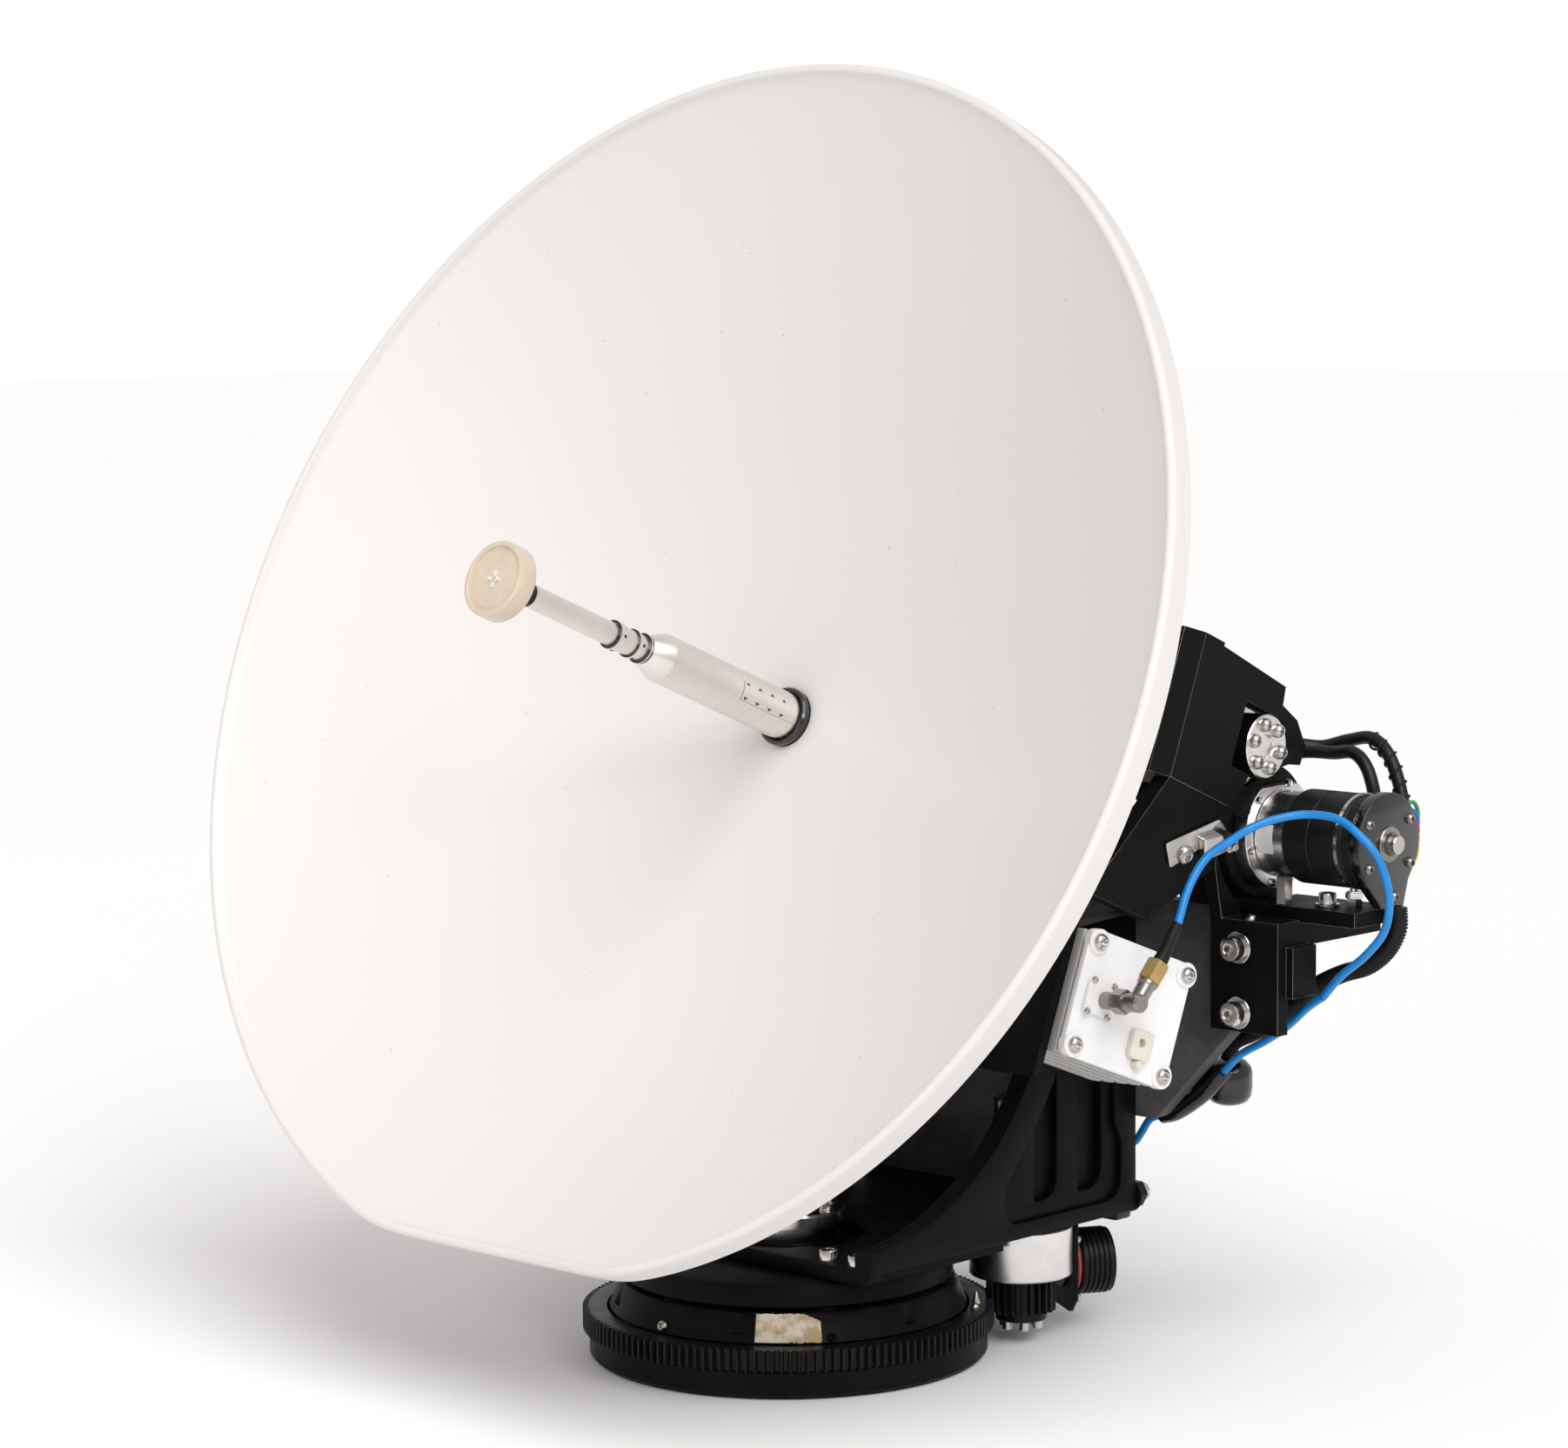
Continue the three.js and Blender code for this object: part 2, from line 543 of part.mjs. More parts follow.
function makeElevationShafts() {
  const v = -rimFromAxis.up;
  const w = -rimFromAxis.front;
  const along = { axis: [1, 0, 0], at: [0, v, w], segments: 24 };
  for (const [name, side] of [["elevation_shaft_right", 1], ["elevation_shaft_left", -1]]) {
    const shaft = [[0, 82], [9.7, 82], [9.7, 130.5], [11.6, 130.5], [11.6, 141], [0, 141]];
    const profile = side > 0 ? shaft : shaft.map(([r, h]) => [r, -h]);
    piece(dishFrame, name, aluminium, turned(profile, along));
  }
  // The toothed sector is drawn in the part's own directions, then turned into the dish's.
  const range = [sector.from, sector.to];
  const outline = gearOutline(sector.teeth, sector.module, elDrive.angle, range, sector.heel);
  const inDish = outline.map(([y, z]) => [v + y * up.y + z * up.z, w + y * ahead.y + z * ahead.z]);
  const gear = slab(inDish, "x", sector.inner, sector.outer).subtract(rod(10, 80, 100, along));
  piece(dishFrame, "elevation_sector_gear", steel, gear);
}

// ---------------------------------------------------------------- reflector and its hub
function makeReflector() {
  const d = dish;
  const focal = (d.radius * d.radius) / (4 * d.depth);
  const sag = (r) => (r * r) / (4 * focal) - d.depth;
  const steps = 6;
  const profile = [];
  for (let i = 0; i <= steps; i++) {
    const r = THREE.MathUtils.lerp(d.bore, d.radius - 3, i / steps);
    profile.push([r, sag(r)]);
  }
  profile.push([d.radius - 1.2, 0], [d.radius, -1.2], [d.radius, -d.lip], [d.radius - d.lipThick, -d.lip]);
  for (let i = steps; i >= 0; i--) {
    const r = THREE.MathUtils.lerp(d.bore, d.radius - d.lipThick - 1, i / steps);
    profile.push([r, sag(r) - d.skin]);
  }
  let bowl = turned(profile, { segments: 52 });
  bowl = bowl.intersect(block([-230, -d.chord, -90], [230, 230, 5]));
  const half = Math.sqrt(d.radius * d.radius - d.chord * d.chord) - 1;
  bowl = bowl.add(block([-half, -d.chord, -d.lip], [half, -d.chord + d.lipThick, -4.5]));
  piece(dishFrame, "reflector", whitePaint, bowl);

  const back = -d.depth - d.skin - GAP;
  const hub = [
    [13, back - 1], [46, back + 3], [46, back - 5], [34, back - 10], [34, cradle.front + 8],
    [48, cradle.front + 6], [48, cradle.front + GAP], [13, cradle.front + GAP],
  ];
  piece(dishFrame, "reflector_hub", aluminium, turned(hub, { segments: 28 }));
  const lipBore = feed.tube + GAP + 0.2;
  const lipEdge = d.bore - GAP;
  const lip = [
    [lipBore, -79], [lipEdge, -79], [lipEdge, -74.5], [11, -74.5], [11, -71.8], [lipBore, -71.8],
  ];
  piece(dishFrame, "feed_gasket", blackPlastic, turned(lip, { segments: 18 }));
}

// ---------------------------------------------------------------- feed, with its polarisation drive
function makeFeed() {
  const f = feed;
  const round = { segments: 24 };
  const tubeProfile = [[0, f.rear], [f.tube, f.rear], [f.tube, f.taper], [f.collar, f.taperEnd], [0, f.taperEnd]];
  piece(dishFrame, "feed_tube", aluminium, turned(tubeProfile, round));
  const collars = [
    [0, 3.7], [4.6, 3.7], [4.6, 4.8], [5.6, 4.8], [5.6, 5.6], [4.6, 5.6], [4.6, 9.7], [5.3, 9.7], [5.3, 11.2],
    [4.6, 11.2], [4.6, 17.3], [5.25, 17.3], [5.25, 21], [0, 21],
  ];
  piece(dishFrame, "feed_collars", aluminium, turned(collars, { segments: 16 }));
  const guide = rod(f.guide, 21 + GAP, f.hatBack - GAP, { segments: 16 });
  piece(dishFrame, "feed_waveguide", aluminium, guide);
  const hat = [
    [0, f.hatBack], [f.hat - 0.5, f.hatBack], [f.hat, f.hatBack + 0.5], [f.hat, f.tip - 0.6],
    [f.hat - 0.5, f.tip], [12, f.tip], [11.6, f.tip - 0.9], [0, f.tip - 0.9],
  ];
  piece(dishFrame, "subreflector", cream, turned(hat, { segments: 28 }));

  const p = polGear;
  const wheel = slab(gearOutline(p.teeth, p.module, 0), "z", p.back, p.front);
  const wheelBore = rod(f.tube + GAP, p.back - 1, p.front + 1, round);
  piece(dishFrame, "polarisation_gear", aluminium, wheel.subtract(wheelBore));
  const reach = ((p.teeth + p.pinionTeeth) * p.module) / 2;
  const at = [reach, 0, 0];
  const centred = gearOutline(p.pinionTeeth, p.module, 180 + 180 / p.pinionTeeth);
  const outline = centred.map(([x, y]) => [x + reach, y]);
  const shaft = rod(2.4, -139, p.back + 1, { at, segments: 12 });
  piece(dishFrame, "polarisation_pinion", steel, slab(outline, "z", p.back, p.front).add(shaft));
  const foot = block([47, -16, -139], [50, 16, cradle.back - GAP]);
  let bracket = block([12, -16, -139], [50, 16, -136]).add(foot);
  bracket = bracket.subtract(rod(3, -145, -130, { at, segments: 16 }));
  piece(dishFrame, "polarisation_bracket", black, bracket);
  piece(dishFrame, "polarisation_motor", blackPlastic, rod(11, -172, -139.3, { at, segments: 20 }));
}

// ---------------------------------------------------------------- converter box with its coaxial lead
function makeConverterBox() {
  const group = new THREE.Group();
  group.position.set(124, -53, -123.8);
  group.rotation.y = rad(box.turn);
  dishFrame.add(group);
  const { height: h, width: w, depth: d, lid } = box;
  const body = block([-d, -h + 0.6, -w + 0.6], [-lid - GAP, -0.6, -0.6]);
  piece(group, "converter_box", whitePaint, body);
  let cover = block([-lid, -h, -w], [0, 0, 0]);
  for (const y of [-4.3, -h + 4.3]) {
    for (const z of [-4.3, -w + 3]) {
      const ear = rod(4.6, -lid, 0.9, { axis: [1, 0, 0], at: [0, y, z], segments: 14 });
      cover = cover.add(ear);
    }
  }
  piece(group, "converter_cover", whitePaint, cover);

  // Right-angle coaxial plug on the cover: flange, hexagonal nut, elbow, gold nut and boot.
  const [plugY, plugZ] = [-23.5, -11.5];
  const jack = { axis: [1, 0, 0], at: [0, plugY, plugZ], segments: 20 };
  const flange = block([GAP, plugY - 6, plugZ - 4], [2.2, plugY + 6, plugZ + 8]).add(rod(3.1, 2, 8, jack));
  piece(group, "coax_jack", whitePaint, flange);
  const hexagon = rod(4.4, 8.4, 14.5, { ...jack, segments: 6 });
  const elbow = hexagon.add(rod(3.4, 14, 22.4, { ...jack, segments: 16 }));
  const riser = { axis: [0, 0.944, -0.331], at: [19, plugY, plugZ], segments: 16 };
  piece(group, "coax_elbow", gunmetal, elbow.add(rod(3.2, 0, 8.6, riser)));
  piece(group, "coax_nut", brass, rod(4.5, 9, 16, { ...riser, segments: 6 }));
}

// The clip that holds the blue lead on the cradle's skirt, and the leads themselves.
function makeCables() {
  const clip = hull([
    [134.6, -25.6, -139.5], [141, -6.6, -163], [141.6, -6.6, -163], [135.2, -25.6, -139.5],
    [138.2, -17.6, -137], [143, -0.5, -159], [143.8, -0.5, -159], [139, -17.6, -137],
  ]);
  piece(dishFrame, "cable_clip", steel, clip);

  // The blue lead loops from the cradle to the fork, then runs down into the junction box from below.
  const loop = [
    [148, 43.5, 167], [146.5, 52, 180], [146.5, 62, 189.5], [148, 74, 194.5], [149.5, 82, 197.8],
    [154, 89.5, 200.7], [162, 98, 202.6], [173, 102.5, 201.6], [182.5, 103, 196.5], [189, 106, 188],
    [191, 109.5, 175], [187.5, 112, 162], [179, 112.5, 152], [167, 114, 143], [157, 117, 134],
    [147, 121, 128.4], [135, 124.6, 119.6], [125, 124.6, 113], [113.5, 125, 106.6], [107, 123, 99.5],
    [100, 122, 92], [92, 122, 86], [85, 122, 81.8], [79, 122, 80], [73, 122, 77.5],
    [68.5, 122.5, 72], [64, 124, 67.5], [58, 127, 66], [52, 131, 70], [50, 133, 77], [50, 133.5, 83.6],
  ];
  piece(azimuth, "coax_lead", blueJacket, tube(loop, coax.radius, 60));

  const upper = [
    [114, 160, 219], [121, 165, 218.4], [130, 168.5, 221], [141, 168, 222.5], [150, 166, 217],
    [156, 165, 205], [160, 163, 190], [160, 160, 176], [156, 158, 166.5],
  ];
  piece(azimuth, "motor_lead", blackPlastic, tube(upper, 2.6, 18));
  const lower = [
    [174, 139, 165.9], [174, 139, 158], [170.5, 137.5, 150], [163, 136, 143.6], [152, 135, 139.6],
    [141, 134.5, 134], [130, 134, 125.5], [120, 134, 117.8], [112, 134, 113.4], [105.5, 134, 110.4],
    [101.8, 134, 107.4], [101, 134, 104],
  ];
  piece(azimuth, "signal_lead", blackPlastic, tube(lower, 3.4, 10));
}

makeBase();
makeTurntable();
makeFork();
makeAzimuthDrive();
makeElevationDrive();
makeCradle();
makeElevationShafts();
makeReflector();
makeFeed();
makeConverterBox();
makeCables();

export default antenna;
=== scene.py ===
"""Stabilised dish antenna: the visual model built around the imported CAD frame."""
import json
import math
import random

import bmesh
import bpy
from mathutils import Matrix, Vector


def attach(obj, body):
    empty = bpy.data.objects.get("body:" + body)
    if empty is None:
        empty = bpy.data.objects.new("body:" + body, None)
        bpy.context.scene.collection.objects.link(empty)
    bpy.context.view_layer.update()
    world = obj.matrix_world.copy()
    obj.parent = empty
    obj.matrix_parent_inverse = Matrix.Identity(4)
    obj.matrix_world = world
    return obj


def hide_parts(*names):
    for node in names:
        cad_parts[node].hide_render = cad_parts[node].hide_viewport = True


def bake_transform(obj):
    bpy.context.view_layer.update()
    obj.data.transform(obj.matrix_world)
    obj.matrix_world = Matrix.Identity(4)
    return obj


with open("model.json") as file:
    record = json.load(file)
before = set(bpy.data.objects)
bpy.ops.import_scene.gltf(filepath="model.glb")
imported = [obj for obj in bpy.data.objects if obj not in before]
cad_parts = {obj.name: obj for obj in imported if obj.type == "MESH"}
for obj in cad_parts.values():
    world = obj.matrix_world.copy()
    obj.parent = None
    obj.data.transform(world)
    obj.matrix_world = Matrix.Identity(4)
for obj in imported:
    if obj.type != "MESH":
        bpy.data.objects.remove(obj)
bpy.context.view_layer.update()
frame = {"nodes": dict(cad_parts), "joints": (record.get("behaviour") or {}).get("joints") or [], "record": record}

MM = 0.001
TAU = 2 * math.pi
X, Y, Z = Vector((1, 0, 0)), Vector((0, 1, 0)), Vector((0, 0, 1))
JOINTS = {j["name"]: j for j in frame["joints"]}
BODY_OF = {n: b for b, nodes in frame["record"]["behaviour"]["bodies"].items() for n in nodes}
rad = math.radians


# ---------------------------------------------------------------- the two working spaces, in millimetres
def space(origin, x_axis, y_axis, z_axis):
    """A matrix that takes millimetres along three axes from an origin in metres to the part's metres."""
    m = Matrix.Identity(4)
    for i, axis in enumerate((x_axis, y_axis, z_axis)):
        for k in range(3):
            m[k][i] = axis[k] * MM
    for k in range(3):
        m[k][3] = origin[k]
    return m


def about(origin, axis, x_hint=X):
    """A space whose third axis is the given one, with its origin in metres."""
    z = Vector(axis).normalized()
    x = Vector(x_hint) - z * z.dot(Vector(x_hint))
    if x.length < 1e-3:
        x = Y - z * z.dot(Y)
    x.normalize()
    return space(origin, x, z.cross(x), z)


PART = space((0, 0, 0), X, Y, Z)
BORESIGHT = Vector(JOINTS["feed_rotation"]["axis"]).normalized()
RIM_CENTRE = Vector(JOINTS["feed_rotation"]["pos_m"])
DISH = space(RIM_CENTRE, X, BORESIGHT.cross(X), BORESIGHT)
ELEVATION_AXIS = Vector(JOINTS["elevation_tilt"]["pos_m"])
MOTOR_AXIS = Vector(JOINTS["elevation_pinion_spin"]["pos_m"])
PINION_AXIS = Vector(JOINTS["azimuth_pinion_spin"]["pos_m"])
SIDE = space((0, 0, 0), Y, Z, X)
BACK = space((0, 0, 0), Z, X, Y)
EL_SIDE = space((0, ELEVATION_AXIS.y, ELEVATION_AXIS.z), Y, Z, X)
MOTOR_SIDE = space((0, MOTOR_AXIS.y, MOTOR_AXIS.z), Y, Z, X)
GEARBOX = space((PINION_AXIS.x, PINION_AXIS.y, 0), X, Y, Z)


# ---------------------------------------------------------------- materials
class Nodes:
    """Shorthand for building one material's node tree."""

    def __init__(self, name, color, roughness, metallic=0.0, **inputs):
        self.material = bpy.data.materials.new(name)
        self.material.use_nodes = True
        self.tree = self.material.node_tree
        self.shader = self.tree.nodes["Principled BSDF"]
        self.set(
            self.shader, {"Base Color": (*color, 1), "Roughness": roughness, "Metallic": metallic, **inputs},
        )
        self.where = self.add("ShaderNodeTexCoord").outputs["Object"]

    def set(self, node, inputs):
        for key, value in inputs.items():
            socket = node.inputs[key]
            if isinstance(value, bpy.types.NodeSocket):
                self.tree.links.new(value, socket)
            else:
                socket.default_value = value

    def add(self, kind, inputs=None, **settings):
        node = self.tree.nodes.new(kind)
        for key, value in settings.items():
            setattr(node, key, value)
        self.set(node, inputs or {})
        return node

    def noise(self, scale, detail=4.0, roughness=0.55, stretch=None):
        where = self.where
        if stretch:
            where = self.add("ShaderNodeMapping", {"Vector": where, "Scale": stretch}).outputs["Vector"]
        inputs = {"Vector": where, "Scale": scale, "Detail": detail, "Roughness": roughness}
        return self.add("ShaderNodeTexNoise", inputs).outputs["Fac"]

    def ramp(self, value, low, high, start, end):
        inputs = {"Value": value, "From Min": low, "From Max": high, "To Min": start, "To Max": end}
        return self.add("ShaderNodeMapRange", inputs).outputs["Result"]

    def mix(self, factor, a, b):
        node = self.add("ShaderNodeMix", data_type="RGBA")
        for index, value in ((0, factor), (6, a), (7, b)):
            if isinstance(value, bpy.types.NodeSocket):
                self.tree.links.new(value, node.inputs[index])
            else:
                node.inputs[index].default_value = value if index == 0 else (*value, 1)
        return node.outputs[2]

    def bump(self, height, strength, distance=0.0002):
        node = self.add("ShaderNodeBump", {"Height": height, "Strength": strength, "Distance": distance})
        self.set(self.shader, {"Normal": node.outputs["Normal"]})


def machined_black(name="black_anodised", tone=0.004, roughness=0.42, gloss=0.07):
    """Black anodised aluminium: a fine matt grain with rubbed patches and specks of dust."""
    n = Nodes(name, (tone, tone, tone * 1.1), roughness, 0.0, **{"Specular IOR Level": gloss})
    patches = n.noise(38, 6)
    dust = n.noise(2600, 2)
    worn = n.mix(
        n.ramp(patches, 0.45, 0.75, 0.0, 0.75), (tone, tone, tone * 1.1),
        (tone * 2.4, tone * 2.3, tone * 2.3),
    )
    speckled = n.mix(n.ramp(dust, 0.72, 0.80, 0.0, 0.3), worn, (0.07, 0.066, 0.062))
    n.set(
        n.shader,
        {"Base Color": speckled, "Roughness": n.ramp(patches, 0.3, 0.7, roughness - 0.06, roughness + 0.1)},
    )
    n.bump(n.noise(1800, 3), 0.12)
    return n.material


def bare_metal(name, color, roughness, scale=900.0, stretch=(1, 1, 12), stained=0.72):
    n = Nodes(name, color, roughness, 1.0)
    lines = n.noise(scale, 3, stretch=stretch)
    stain = n.noise(60, 5)
    dull = tuple(c * stained for c in color)
    n.set(n.shader, {
        "Base Color": n.mix(n.ramp(stain, 0.4, 0.7, 0.0, 1.0), color, dull),
        "Roughness": n.ramp(lines, 0.3, 0.7, roughness - 0.08, roughness + 0.1),
    })
    n.bump(lines, 0.08, 0.0001)
    return n.material


def dish_paint():
    """Warm white satin paint with a fine orange peel and a few specks."""
    warm = (0.735, 0.715, 0.695)
    n = Nodes("dish_paint", warm, 0.36, 0.0, **{"Coat Weight": 0.12, "Coat Roughness": 0.28})
    broad = n.noise(5, 3)
    specks = n.noise(420, 1, 0.4)
    shade = n.mix(n.ramp(broad, 0.35, 0.65, 0.0, 1.0), warm, (0.72, 0.70, 0.68))
    dotted = n.mix(n.ramp(specks, 0.815, 0.83, 0.0, 0.55), shade, (0.30, 0.26, 0.22))
    n.set(n.shader, {"Base Color": dotted, "Roughness": n.ramp(broad, 0.3, 0.7, 0.33, 0.40)})
    n.bump(n.noise(900, 2), 0.05, 0.0001)
    return n.material


def enamel(name, color, roughness):
    n = Nodes(name, color, roughness)
    stain = n.noise(90, 5)
    n.set(
        n.shader,
        {"Base Color": n.mix(n.ramp(stain, 0.5, 0.8, 0.0, 0.6), color, tuple(c * 0.86 for c in color))},
    )
    n.bump(n.noise(1500, 3), 0.10, 0.0001)
    return n.material


def plastic(name, color, roughness, coat=0.0, grain=1400.0, strength=0.06, **inputs):
    n = Nodes(name, color, roughness, 0.0, **{"Coat Weight": coat, **inputs})
    smudge = n.noise(120, 4)
    n.set(n.shader, {
        "Base Color": n.mix(
            n.ramp(smudge, 0.4, 0.75, 0.0, 1.0), color, tuple(min(1, c * 1.12 + 0.002) for c in color)
        ),
        "Roughness": n.ramp(smudge, 0.3, 0.7, max(0.05, roughness - 0.05), roughness + 0.08),
    })
    n.bump(n.noise(grain, 3), strength, 0.0001)
    return n.material


def paper():
    n = Nodes("tape_paper", (0.60, 0.51, 0.38), 0.8)
    fibres = n.noise(190, 6)
    n.set(
        n.shader,
        {"Base Color": n.mix(n.ramp(fibres, 0.4, 0.6, 0.0, 1.0), (0.70, 0.63, 0.51), (0.46, 0.33, 0.19))},
    )
    n.bump(fibres, 0.4, 0.0002)
    return n.material


M = {
    "black": machined_black(),
    "gear": machined_black("gear_black", 0.006, 0.32, 0.2),
    "plate": machined_black("plate_black", 0.062, 0.6, 0.25),
    "steel": bare_metal("steel", (0.62, 0.60, 0.56), 0.24),
    "shiny": bare_metal("stainless", (0.72, 0.70, 0.67), 0.17, 700),
    "aluminium": bare_metal("aluminium", (0.76, 0.76, 0.77), 0.33, 1200),
    "satin": bare_metal("satin_aluminium", (0.80, 0.765, 0.735), 0.30, 1500, stained=0.95),
    "turned": bare_metal("turned_aluminium", (0.82, 0.81, 0.80), 0.26, 1500, stained=0.88),
    "gunmetal": bare_metal("gunmetal", (0.33, 0.31, 0.285), 0.26),
    "gold": bare_metal("gold_plate", (0.86, 0.62, 0.25), 0.22),
    "tin": bare_metal("brass_stud", (0.66, 0.60, 0.44), 0.28),
    "dish": dish_paint(),
    "worn": bare_metal("worn_edge", (0.50, 0.48, 0.45), 0.30),
    "bronze": bare_metal("bronze", (0.42, 0.30, 0.16), 0.30),
    "enamel": enamel("white_enamel", (0.86, 0.86, 0.865), 0.42),
    "casting": enamel("grey_casting", (0.52, 0.51, 0.49), 0.5),
    "cable": plastic("cable_black", (0.006, 0.006, 0.006), 0.33, 0.1, **{"Specular IOR Level": 0.25}),
    "rubber": plastic("matt_black", (0.006, 0.006, 0.007), 0.45, **{"Specular IOR Level": 0.25}),
    "gloss": plastic("gloss_black", (0.004, 0.004, 0.005), 0.14, 0.5),
    "blue": plastic("blue_jacket", (0.0, 0.225, 0.62), 0.34, 0.08, 900, 0.04),
    "cream": plastic("cream_plastic", (0.62, 0.525, 0.40), 0.30, 0.15),
    "nylon": plastic("natural_nylon", (0.70, 0.68, 0.60), 0.42),
    "red": plastic("red_rubber", (0.33, 0.03, 0.035), 0.42),
    "paper": paper(),
    "ink": plastic("mark_grey", (0.035, 0.035, 0.035), 0.6),
    "label": plastic("blank_label", (0.74, 0.74, 0.72), 0.5),
}
for wire, tint in {
    "wire_green": (0.02, 0.30, 0.07), "wire_blue": (0.02, 0.16, 0.55), "wire_red": (0.52, 0.02, 0.04),
    "wire_orange": (0.75, 0.22, 0.03), "wire_yellow": (0.78, 0.60, 0.08),
}.items():
    M[wire] = plastic(wire, tint, 0.35)


# ---------------------------------------------------------------- shapes, added to a bmesh in millimetres
def placed(at=(0, 0, 0), axis=(0, 0, 1), x_hint=X):
    """A matrix within a millimetre space: origin at a point, third axis along a direction."""
    m = about((0, 0, 0), axis, x_hint).to_3x3().normalized().to_4x4()
    m.translation = Vector(at)
    return m


def add_turned(bm, profile, segments=96, m=None):
    """A surface of revolution about the third axis. A profile off the axis is closed on itself."""
    m = m or Matrix.Identity(4)
    rings = []
    for r, h in profile:
        if r < 1e-6:
            rings.append([bm.verts.new(m @ Vector((0, 0, h)))])
        else:
            spin = [TAU * i / segments for i in range(segments)]
            rings.append([bm.verts.new(m @ Vector((r * math.cos(a), r * math.sin(a), h))) for a in spin])
    pairs = list(zip(rings, rings[1:]))
    if profile[0][0] > 1e-6:
        pairs.append((rings[-1], rings[0]))
    for a, b in pairs:
        for i in range(segments):
            j = (i + 1) % segments
            corner = [a[i % len(a)], a[j % len(a)], b[j % len(b)], b[i % len(b)]]
            corner = [v for k, v in enumerate(corner) if v is not corner[k - 1]]
            if len(corner) > 2:
                bm.faces.new(corner)


def add_prism(bm, outline, low, high, m=None):
    m = m or Matrix.Identity(4)
    bottom = [bm.verts.new(m @ Vector((x, y, low))) for x, y in outline]
    top = [bm.verts.new(m @ Vector((x, y, high))) for x, y in outline]
    bm.faces.new(bottom[::-1])
    bm.faces.new(top)
    for i in range(len(outline)):
        j = (i + 1) % len(outline)
        bm.faces.new([bottom[i], bottom[j], top[j], top[i]])


def add_box(bm, low, high, m=None):
    add_prism(
        bm, [(low[0], low[1]), (high[0], low[1]), (high[0], high[1]), (low[0], high[1])], low[2], high[2], m,
    )


def smooth_path(points, per_span=8):
    """Points along a Catmull-Rom curve through the given ones."""
    p = [Vector(q) for q in points]
    p = [2 * p[0] - p[1], *p, 2 * p[-1] - p[-2]]
    out = []
    for a, b, c, d in zip(p, p[1:], p[2:], p[3:]):
        for i in range(per_span):
            t = i / per_span
            out.append(0.5 * (
                2 * b + (c - a) * t + (2 * a - 5 * b + 4 * c - d) * t * t + (3 * b - a - 3 * c + d) * t ** 3
            ))
    return [*out, p[-2]]


def add_tube(bm, path, radius, sides=16):
    """A round tube along a path, with closed ends. The radius may be a function of the share along it."""
    size = radius if callable(radius) else lambda _: radius
    normal = (path[1] - path[0]).orthogonal().normalized()
    rings = []
    for k, point in enumerate(path):
        ahead = (path[min(k + 1, len(path) - 1)] - path[max(k - 1, 0)]).normalized()
        normal = (normal - ahead * ahead.dot(normal)).normalized()
        side = ahead.cross(normal)
        r = size(k / (len(path) - 1))
        rings.append([
            bm.verts.new(point + (normal * math.cos(TAU * i / sides) + side * math.sin(TAU * i / sides)) * r)
            for i in range(sides)
        ])
    for a, b in zip(rings, rings[1:]):
        for i in range(sides):
            j = (i + 1) % sides
            bm.faces.new([a[i], a[j], b[j], b[i]])
    bm.faces.new(rings[0][::-1])
    bm.faces.new(rings[-1])


def arc(cx, cy, r, start, end, steps=8):
    return [(cx + r * math.cos(rad(start + (end - start) * i / steps)),
             cy + r * math.sin(rad(start + (end - start) * i / steps))) for i in range(steps + 1)]


def bend(a, middle, b, steps=7):
    """The points of a round corner between two points, after the first."""
    a, middle, b = Vector(a), Vector(middle), Vector(b)
    ts = [k / steps for k in range(1, steps + 1)]
    return [tuple((1 - t) ** 2 * a + 2 * t * (1 - t) * middle + t * t * b) for t in ts]


def rounded_outline(points, radius, steps=5):
    """A polygon with its corners rounded."""
    out = []
    count = len(points)
    for i, p in enumerate(points):
        here = Vector(p)
        before = (Vector(points[i - 1]) - here)
        after = (Vector(points[(i + 1) % count]) - here)
        reach = min(radius, before.length * 0.45, after.length * 0.45)
        a, b = here + before.normalized() * reach, here + after.normalized() * reach
        for k in range(steps + 1):
            t = k / steps
            out.append(tuple((1 - t) ** 2 * a + 2 * t * (1 - t) * here + t * t * b))
    return out


def add_plate(bm, outer, holes, low, high, m=None, bevel=0.0):
    """A flat plate with holes, filled by a 2D curve and extruded, with an optional rounded edge."""
    m = m or Matrix.Identity(4)
    curve = bpy.data.curves.new("outline", "CURVE")
    curve.dimensions = "2D"
    curve.fill_mode = "BOTH"
    curve.extrude = (high - low) / 2 - bevel
    curve.bevel_depth = bevel
    curve.bevel_resolution = 2
    curve.offset = -bevel
    for loop in (outer, *holes):
        spline = curve.splines.new("POLY")
        spline.points.add(len(loop) - 1)
        for point, (x, y) in zip(spline.points, loop):
            point.co = (x, y, 0, 1)
        spline.use_cyclic_u = True
    holder = bpy.data.objects.new("outline", curve)
    bpy.context.scene.collection.objects.link(holder)
    bpy.context.view_layer.update()
    mesh = bpy.data.meshes.new_from_object(holder.evaluated_get(bpy.context.evaluated_depsgraph_get()))
    bpy.data.objects.remove(holder)
    mesh.transform(m @ Matrix.Translation((0, 0, (low + high) / 2)))
    bm.from_mesh(mesh)
    bpy.data.meshes.remove(mesh)


def gear_outline(teeth, module, phase):
    """Gear teeth with slightly curved flanks, one of them centred on the angle phase, in degrees."""
    pitch = TAU / teeth
    mean = teeth * module / 2
    flank = [(-1.2, 0.27), (-0.6, 0.235), (0.0, 0.195), (0.6, 0.15), (0.85, 0.125), (1.0, 0.10)]
    out = []
    for k in range(teeth):
        centre = rad(phase) + k * pitch
        side = [(mean + h * module, w * pitch) for h, w in flank]
        for r, w in side:
            out.append((r * math.cos(centre - w), r * math.sin(centre - w)))
        for r, w in side[::-1]:
            out.append((r * math.cos(centre + w), r * math.sin(centre + w)))
    return out


